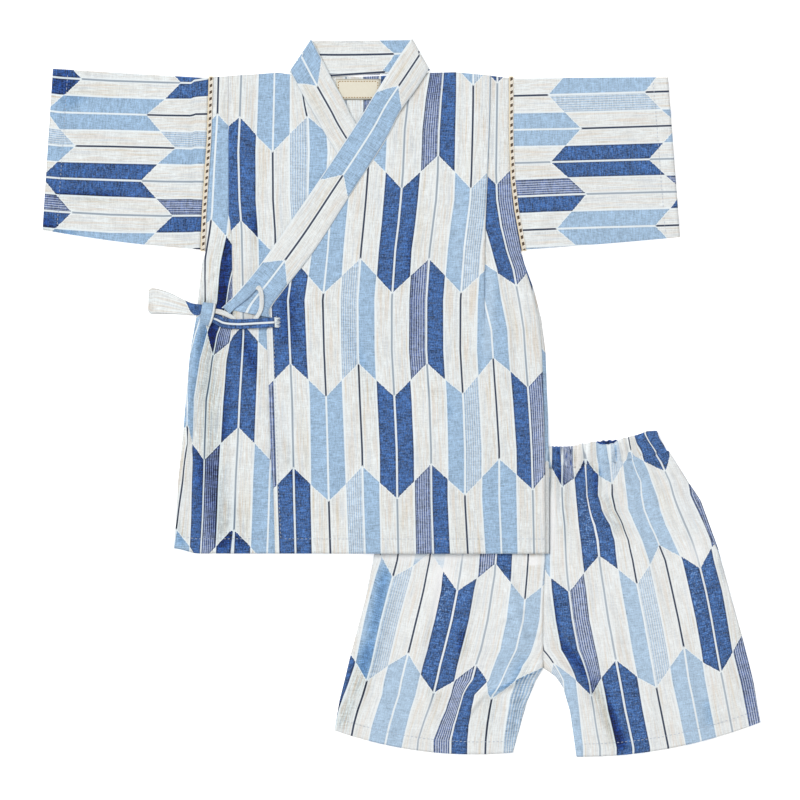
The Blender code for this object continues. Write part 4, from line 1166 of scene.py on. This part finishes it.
def legPoints(leg, front):
    left = leg is leftLeg
    seamGap = 0.1 if left else -0.1
    creases = leftLegCreases if left else rightLegCreases
    columns, rows = (shorts["across"], shorts["down"]) if front else (40, 70)
    points = []
    for place, toHem in legPlaces(leg, rows):
        ax, ay, bx, by, bow = legRow(leg, place)
        fromWaist = leg[0][1] - ay
        mouth = readTrack(pocketMouth, by) if front and left else 0.0
        bx -= mouth
        row = []
        for i in range(columns + 1):
            part = i / columns
            x, y = legSpot((ax + seamGap, ay, bx, by, bow), part)
            if place < 1:
                topX, topY = between(leg[0][0], leg[0][2], part), between(leg[0][1], leg[0][3], part)
                y += (readTrack(waistLine, topX, 2) + shorts["seamLap"] - topY) * ease(1 - place)
            z = 0.05
            if front:
                z = table["layer"] + shorts["sag"] * ease(min(part, 1 - part) * 6)
            for at, length, width, rise in waistFolds:
                aside = (part - at) * (bx - ax if left else ax - bx)
                fade = ease(1 - fromWaist / length)
                if fade and abs(aside) < 9:
                    lean = width * (1.3 if aside > 0 else 0.6)
                    z += rise * fade * exp(-(aside / lean) ** 2) * (1.0 if front else 0.2)
            if front:
                z += creaseHeight(creases, x, y) * ease(toHem / 10)
                z -= 0.5 * ease(1 - (1 - part) * abs(bx - ax) / 4) * ease(1 - mouth)
                z -= 0.5 * ease(1 - part * abs(bx - ax) / 3)
            z += hemFold(toHem, shorts["hemWidth"]) * (1.0 if front else 0.4)
            row.append((x, y, underJacket(x, y, z, shorts["thick"] - 0.05) if front else z))
        points.append(row)
    return points


def sewLeg(name, node, leg, front):
    points = legPoints(leg, front)
    chart = leftLegChart if leg is leftLeg else rightLegChart

    def uvAt(region, j, i):
        x, y, z = points[j][i]
        u, v = clothAt(chart, x, y)
        return (u, v) if front else (u + 3.0, v + 0.4)

    return sewSheet(name, node, points, uvAt, shorts["thick"])


rightLegBack = sewLeg("shortsRightBack", "shorts_right_back", rightLeg, False)
leftLegBack = sewLeg("shortsLeftBack", "shorts_left_back", leftLeg, False)
rightLegFront = sewLeg("shortsRightFront", "shorts_right_front", rightLeg, True)
leftLegFront = sewLeg("shortsLeftFront", "shorts_left_front", leftLeg, True)
# painted shade: start, end, half width, depth; negative where light is painted on instead
rightLegPaintedShadeAndLight = [
    (-14.1, -147, -27.3, -213.8, 6.5, 1), (-27.3, -213.8, -44.9, -264.9, 7.5, 1.3),
    (-44.9, -264.9, -57.2, -289.5, 8, 1.3), (123.2, -236.7, 74.8, -259.6, 1.3, 0.8),
    (35.2, -143.4, 32.6, -196.2, 9, -0.8), (108.2, -231.4, 92.4, -304.5, 8, 0.65),
    (78.3, -260.5, 69.5, -301.8, 7, 0.45), (22, -254.3, 32.6, -264.9, 5, 0.5),
    (-20.2, -138.6, 60.7, -138.6, 4, -0.6), (53.7, -203.3, 51.9, -225.3, 6, 0.6),
    (113.5, -138.2, 113.5, -147, 8, -0.8),
]
leftLegPaintedShadeAndLight = [
    (132, -173.4, 136.4, -212.1, 5, 0.5), (136.4, -212.1, 166.3, -247.3, 6, 0.65),
    (166.3, -247.3, 176, -266.6, 6.5, 1.2), (176, -266.6, 192.7, -308.9, 6.5, 1.2),
    (178.6, -84.5, 189.2, -119.7, 4.5, 0.75), (140.8, -62.5, 143.4, -128.5, 6, 0.4),
    (158.4, -80.1, 164.6, -134.6, 6.5, -0.75), (255.2, -124.1, 261.4, -187.4, 10, -0.4),
    (277.2, -135.5, 282.5, -161, 3, 0.5), (294.8, -185.7, 305.4, -275.4, 6, 0.35),
    (134.6, -62.5, 140.8, -74.8, 4, 0.6), (151.4, -69.5, 161.9, -53.2, 1.6, 0.8),
    (161.9, -53.2, 172.5, -66, 1.6, 0.8), (169, -58.1, 170.7, -90.6, 4, 0.5),
    (130.2, -80.1, 130.2, -134.6, 5, -0.6), (268.4, -264.9, 271.9, -286.9, 6, 0.3),
]
# painted shade in the casing's gathers
waistPaintedShade = [
    (134.6, -55.4, 139.9, -74.8, 4, 0.5), (151.4, -69.5, 161.9, -53.2, 1.6, 0.8),
    (161.9, -53.2, 172.5, -66, 1.6, 0.8), (135.5, -42.2, 138.2, -55.4, 2, 0.5),
    (148.7, -44, 151.4, -55.4, 1.6, 0.7), (180.4, -42.2, 183, -59, 1.8, 0.4),
    (187.4, -41.4, 184.8, -62.5, 1.6, 0.6), (164.6, -38.7, 165.4, -46.6, 1.6, 0.35),
    (208.6, -44.9, 212.1, -55.4, 1.6, 0.4),
]
# painted shade in the folds, and painted light over the pale colours of each leg's front
paintShadeAndLight(rightLegFront, rightLegPaintedShadeAndLight, shorts["paintedLight"])
paintShadeAndLight(leftLegFront, leftLegPaintedShadeAndLight, shorts["paintedLight"])
print("legs sewn")

waist = {
    "thick": 1.1, "steps": 190, "rows": 12, "low": 0.6, "high": 2.7, "gather": 3.9, "scallop": 1.2,
    "dip": 3.3, "dipAt": 179.8, "dipReach": 9.0,
    "backEdge": (168.0, 192.0), "backWidth": 5.2, "backThick": 0.7,
}


def sewWaist():
    points, phases = [], []
    for j in range(waist["rows"] + 1):
        reach = j / waist["rows"]
        a, b = (between(top, seam, reach) for top, seam in zip(waistEnds["top"], waistEnds["seam"]))
        ring, turnings = [], []
        for x, z in flatRing(spread([a + 1.8, b - 1.8], [waist["steps"]]), waist["low"], waist["high"]):
            top, seam = readTrack(waistLine, x, 1), readTrack(waistLine, x, 2) - 0.6
            part = (x - a) / (b - a)
            # gathers of uneven width, pinched at the seam and rounder along the top fold
            phase = pi * (25 * part + 1.4 * sin(9.0 * part + 1.0) + 0.8 * sin(23.0 * part) + 0.5 * reach)
            pinch = 0.50 + 0.50 * sin(pi * min(1.0, 0.2 + 0.7 * reach)) ** 2
            wave = abs(sin(phase)) ** 0.7 * (0.62 + 0.38 * sin(37 * part + 2 + 1.5 * reach))
            end = min(1.0, part * 14, (1 - part) * 14)
            fold = abs(2 * reach - 1) ** 6
            if z > waist["high"] - 0.01:
                z += waist["gather"] * wave * pinch * end * (1 - 0.5 * fold) - 0.5 * fold * end
            elif z < waist["low"] + 0.01:
                z += 0.3 * wave * pinch * end
            y = between(top, seam, reach) + waist["scallop"] * (wave - 0.5) * ease(1 - reach * 5) * end
            # the front edge slips down beside the pleats of the back
            y -= waist["dip"] * exp(-((x - waist["dipAt"]) / waist["dipReach"]) ** 4) * ease(1 - reach * 4)
            ring.append((x, y, underJacket(x, y, z, waist["thick"] / 2 - 0.05)))
            turnings.append(phase)
        points.append(ring)
        phases.append(turnings)
    upper = waist["steps"] + 3

    def uvAt(region, j, i):
        i %= len(points[j])
        x, y, z = points[j][i]
        u, v = clothAt(leftLegChart, x, y)
        u += 0.09 * sin(2 * phases[j][i]) * (1 - 0.6 * j / waist["rows"])      # drawn together in gathers
        return (2 * clothAt(leftLegChart, points[j][upper][0], y)[0] - u, v) if region else (u, v)

    return sewTube("waistCasing", "waistband", points, upper, uvAt, waist["thick"])


waistband = sewWaist()
paintShadeAndLight(waistband, waistPaintedShade, shorts["paintedLight"])


def sewBackEdge():
    # where the front edge slips down, the back of the casing shows in pleats of a dark column, with painted
    # shade along them
    bm = bmesh.new()
    sections = []
    for x in spread(waist["backEdge"], [56]):
        top = readTrack(waistLine, x, 1)
        rise = 0.5 * sin(1.15 * x) - 1.6 * (abs(x - 180.0) / 12.0) ** 4
        sections.append((x, top + rise, x, top - waist["backWidth"], 0.9 + 0.45 * sin(1.9 * x)))
    bandForm(bm, sections, waist["backThick"], lambda j, s: (3.06 + 0.006 * j, 1.45 + 0.04 * s), 6, 6.0)
    return finishForm("casingBackEdge", bm, [clothMaterial])


casingBackEdge = sewBackEdge()
# painted shade along the pleats
paintShadeAndLight(casingBackEdge, [(168, -38, 192, -37, 3, 0.5)])


def sewPocket():
    bm = bmesh.new()
    sections = []
    for y in spread([pocket["from"], pocket["to"]], [16]):
        seam = readTrack(sorted((row[3], row[2]) for row in leftLeg), y)
        inner = seam - readTrack(pocketMouth, y) - pocket["depth"]
        sections.append((inner, y, seam + pocket["lap"], y, table["layer"] - pocket["sink"]))
    bandForm(bm, sections, pocket["thick"], lambda j, s: (7.6 + 0.3 * s, 1.2 + j / 30), 8, 6.0)
    return finishForm("pocketFacing", bm, [clothMaterial], "pocket_facing")


pocketFacing = sewPocket()
print("waistband and pocket sewn")


# ties

tie = {
    "thick": 0.8, "fringeAt": (-113.8, 67.4, 5.75), "fringeWidth": 8.4, "fringeLength": 6.2,
    "fringeCount": 24, "fringeThick": 0.24,
}
# x, y, underside, width
tailSide = [
    (-168, 78.4, 3.2, 8), (-174, 78.4, 3, 9), (-180, 78.6, 2.9, 9.6), (-186, 79, 2.6, 10.6),
    (-191, 80, 1.9, 12), (-198, 81.8, 1.2, 15), (-208, 84.4, 0.8, 19.4), (-216, 85.8, 0.7, 21.8),
    (-221.5, 86.4, 0.7, 22.4), (-224.2, 86.5, 0.7, 18),
]
knot = [
    (-170.2, 84.6, 3, 11.2), (-170.4, 83, 4.6, 11.8), (-171, 79.6, 5.7, 12.2), (-172, 74.4, 6, 12),
    (-173.1, 69.8, 5.3, 11.2), (-173.9, 67, 4.3, 10.4), (-174.4, 65, 3, 9.6),
]
loop = [
    (-155.3, 77.9, 4.6, 8.6), (-150.5, 82.3, 5.2, 8.2), (-145.2, 86.2, 5.6, 7.6), (-139, 92, 5.9, 8.8),
    (-134.2, 96, 6, 7.8), (-129.8, 98.6, 6.2, 5.6), (-126.4, 97.2, 6.3, 4.4), (-124.6, 92.6, 6.3, 4),
    (-124.2, 86.2, 6.2, 3.9), (-124.8, 79.6, 5.9, 3.9), (-127.2, 74, 5.5, 3.8), (-130.4, 69.8, 5, 3.6),
]
loopReturn = [
    (-147, 69.8, 3.6, 2.8), (-150.4, 71.8, 3.9, 3.8), (-155, 74.4, 4.1, 4.6), (-160.6, 76.4, 4.2, 4.8),
    (-166, 77.6, 4.2, 4),
]
tailFront = [
    (-168, 71.4, 3.8, 7.4), (-163.4, 69.6, 4.2, 8.2), (-157, 66.8, 4.4, 8.6), (-145, 65.8, 4.6, 8.6),
    (-128, 66.6, 5.4, 8.6), (-113, 67.4, 5.5, 8.6),
]


def ribbon(name, node, path, cloth, creases, square=8.0):
    # cloth: column at both long edges, row at both ends; creases: place across, half width, height
    bm = bmesh.new()
    line = smoothPath(path, 8)
    sections = []
    for k, (x, y, z, width) in enumerate(line):
        before, after = line[max(0, k - 1)], line[min(len(line) - 1, k + 1)]
        heading = Vector((after[0] - before[0], after[1] - before[1])).normalized()
        sections.append((x - heading.y * width / 2, y + heading.x * width / 2,
                         x + heading.y * width / 2, y - heading.x * width / 2, z))
    firstU, lastU, firstV, lastV = cloth
    count = len(sections) - 1

    def crown(j, s):
        t = j / count
        return sum(rise * exp(-((s - between(a, b, t)) / width) ** 2) * ease((t - start) * 5)
                   * ease((stop - t) * 5) for a, b, width, rise, start, stop in creases)

    bandForm(bm, sections, tie["thick"],
             lambda j, s: (between(firstU, lastU, s), between(firstV, lastV, j / count)),
             14, square, 0, crown)
    return finishForm(name, bm, [tieMaterial], node)


def makeFringe():
    # loose threads at the front tail's cut end
    bm = bmesh.new()
    startX, startY, startZ = tie["fringeAt"]
    for k in range(tie["fringeCount"]):
        aside = ((k + 0.5) / tie["fringeCount"] - 0.5) * tie["fringeWidth"]
        reach, sway = tie["fringeLength"] * (0.75 + 0.25 * sin(k * 2.4)), 0.5 * sin(k * 1.7)
        sections = []
        for t in (0.0, 0.35, 0.7, 1.0):
            x, y = startX + reach * t, startY + aside * (1 + 0.12 * t) + sway * t * t
            sections.append((x, y + 0.2, x, y - 0.24, startZ - 0.25 * t))
        bandForm(bm, sections, tie["fringeThick"], lambda j, s: (0.25, 1.4), 4, 2.0)
    return finishForm("tieFringe", bm, [fringeThread])


sideTail = ribbon("tieTailSide", "tie_tail_side", tailSide, (3.44, 3.06, 1.68, 2.30), [
    (0.44, 0.34, 0.05, 0.8, 0.0, 0.9), (0.62, 0.70, 0.05, 0.7, 0.1, 1.1), (0.5, 0.5, 0.04, -0.3, 0.0, 0.7)])
tieLoop = ribbon("tieLoop", "tie_loop", loop, (1.16, 1.44, 1.30, 2.55), [
    (0.72, 0.60, 0.10, 0.3, 0.0, 0.6)])
tieReturn = ribbon("tieLoopReturn", "tie_loop_return", loopReturn, (1.02, 1.42, 2.30, 2.75), [
    (0.3, 0.2, 0.10, 0.4, 0.0, 1.1)])
frontTail = ribbon("tieTailFront", "tie_tail_front", tailFront, (0.36, 0.64, 0.20, 0.80), [
    (0.5, 0.5, 0.10, 0.25, 0.0, 1.1)])
tieKnot = ribbon("tieKnot", "tie_knot", knot, (2.07, 1.60, 1.32, 1.72), [
    (0.3, 0.35, 0.09, 0.5, 0.0, 1.1), (0.7, 0.6, 0.07, 0.35, 0.0, 1.1)], 4.0)
tailFringe = makeFringe()
print("ties made")


# stitching

stitch = {"pitch": 3.6, "length": 2.2, "width": 0.45, "above": 0.4}


def surfaceTop(piece, x, y):
    # height of the cloth's upper face at a place, in mm
    hit, where, normal, face = piece.ray_cast(spot(x, y, 30.0), Vector((0, 0, -1)))
    return where.z / mm if hit else None


def stitchAlong(name, piece, *paths):
    # paths of (x, y) on the piece
    bm = bmesh.new()
    bpy.context.view_layer.update()
    for path in paths:
        line = []
        for (ax, ay), (bx, by) in zip(path, path[1:]):
            pieces = max(1, round(hypot(bx - ax, by - ay) / 3))
            line += [(between(ax, bx, k / pieces), between(ay, by, k / pieces)) for k in range(pieces)]
        tops = [(x, y, surfaceTop(piece, x, y)) for x, y in line + path[-1:]]
        stitchRow(bm, [(x, y, z + stitch["above"]) for x, y, z in tops if z is not None],
                  stitch["pitch"], stitch["length"], stitch["width"], 0.2)
    return finishForm(name, bm, [seamThread])


def cuffLine(side):
    topX, topY, bottomX, bottomY, droop = sleeves[side]
    inward = sleeves["hemWidth"] * (1 if side == "right" else -1)
    return [(bottomX + inward, bottomY + 4), (topX + inward, topY - 4)]


def legHemLine(leg):
    line = []
    for part in (k / 40 for k in range(1, 40)):
        above, below = (legSpot(section, part) for section in leg[-2:])
        t = shorts["hemWidth"] / hypot(below[0] - above[0], below[1] - above[1])
        line.append((between(below[0], above[0], t), between(below[1], above[1], t)))
    return line


hemLine = lie["hem"] + fronts["hemWidth"]
leftFrontStitches = stitchAlong(
    "leftFrontStitching", leftFront, [(-105, hemLine), (124, hemLine)],
    [(-107.4, hemLine), (-110.6, -54), (-112.6, 10), (-113.6, 58)])
rightFrontStitches = stitchAlong(
    "rightFrontStitching", rightFront,
    [(-198, hemLine + 2.5), (-182, hemLine), (-100, hemLine), (30, hemLine)])
rightCuffStitches = stitchAlong("rightCuffStitching", rightSleeve, cuffLine("right"))
leftCuffStitches = stitchAlong("leftCuffStitching", leftSleeve, cuffLine("left"))
rightLegStitches = stitchAlong("rightLegStitching", rightLegFront, legHemLine(rightLeg))
leftLegStitches = stitchAlong("leftLegStitching", leftLegFront, legHemLine(leftLeg))
print("stitching done")


# floor, light and camera

studio = {
    "floor": 4.0, "floorColour": (0.93, 0.93, 0.93, 1), "lens": 200.0, "sensor": 36.0, "view": 704.0,
    "world": 0.50, "lampWatts": 253.0, "lampSize": 4.0, "lampAt": (-2.6, 2.2, 5.2), "glow": 0.45,
    "fillWatts": 30.0, "fillAt": (2.8, -2.6, 3.0),
}


def makeFloor():
    bm = bmesh.new()
    half = studio["floor"] / 2
    bm.faces.new([bm.verts.new((x, y, -0.0003)) for x, y in
                  ((-half, -half), (half, -half), (half, half), (-half, half))])
    mesh = bpy.data.meshes.new("floor")
    bm.to_mesh(mesh)
    bm.free()
    floorPiece = bpy.data.objects.new("floor", mesh)
    bpy.context.scene.collection.objects.link(floorPiece)
    material, tree, shader = newMaterial("floorPaper")
    where = addNode(tree, "ShaderNodeTexCoord").outputs["Object"]
    grain = addNode(tree, "ShaderNodeTexNoise", [("Vector", where), ("Scale", 60.0)]).outputs[0]
    tree.links.new(softStep(tree, grain, 0.3, 0.7, 0.94, 0.88), shader.inputs["Roughness"])
    shader.inputs["Base Color"].default_value = studio["floorColour"]
    shader.inputs["Specular IOR Level"].default_value = 0.1
    shader.inputs["Emission Color"].default_value = (1.0, 1.0, 1.0, 1)
    shader.inputs["Emission Strength"].default_value = studio["glow"]    # a lit paper sweep
    mesh.materials.append(material)


def makeLamp(name, watts, size, place):
    data = bpy.data.lights.new(name, "AREA")
    data.energy = watts
    data.shape = "SQUARE"
    data.size = size
    lamp = bpy.data.objects.new(name, data)
    lamp.location = place
    lamp.rotation_euler = (-Vector(place)).to_track_quat("-Z", "Y").to_euler()
    bpy.context.scene.collection.objects.link(lamp)


makeFloor()
makeLamp("windowLight", studio["lampWatts"], studio["lampSize"], studio["lampAt"])
makeLamp("fillLight", studio["fillWatts"], studio["lampSize"], studio["fillAt"])
world = bpy.data.worlds.new("studio")
bpy.context.scene.world = world
world.use_nodes = True
world.node_tree.nodes["Background"].inputs[0].default_value = (1.0, 1.0, 1.0, 1)
world.node_tree.nodes["Background"].inputs[1].default_value = studio["world"]

camera = bpy.data.cameras.new("camera")
camera.lens = studio["lens"]
camera.sensor_width = studio["sensor"]
camera.clip_end = 20.0
cameraPiece = bpy.data.objects.new("camera", camera)
middle = spot((400 - table["gridX"]) * table["square"], (table["gridY"] - 400) * table["square"], 2.0)
cameraPiece.location = middle + Vector((0, 0, studio["view"] * mm * studio["lens"] / studio["sensor"]))
bpy.context.scene.collection.objects.link(cameraPiece)
bpy.context.scene.camera = cameraPiece
bpy.context.scene.view_settings.view_transform = "Standard"
print("floor, light and camera ready")
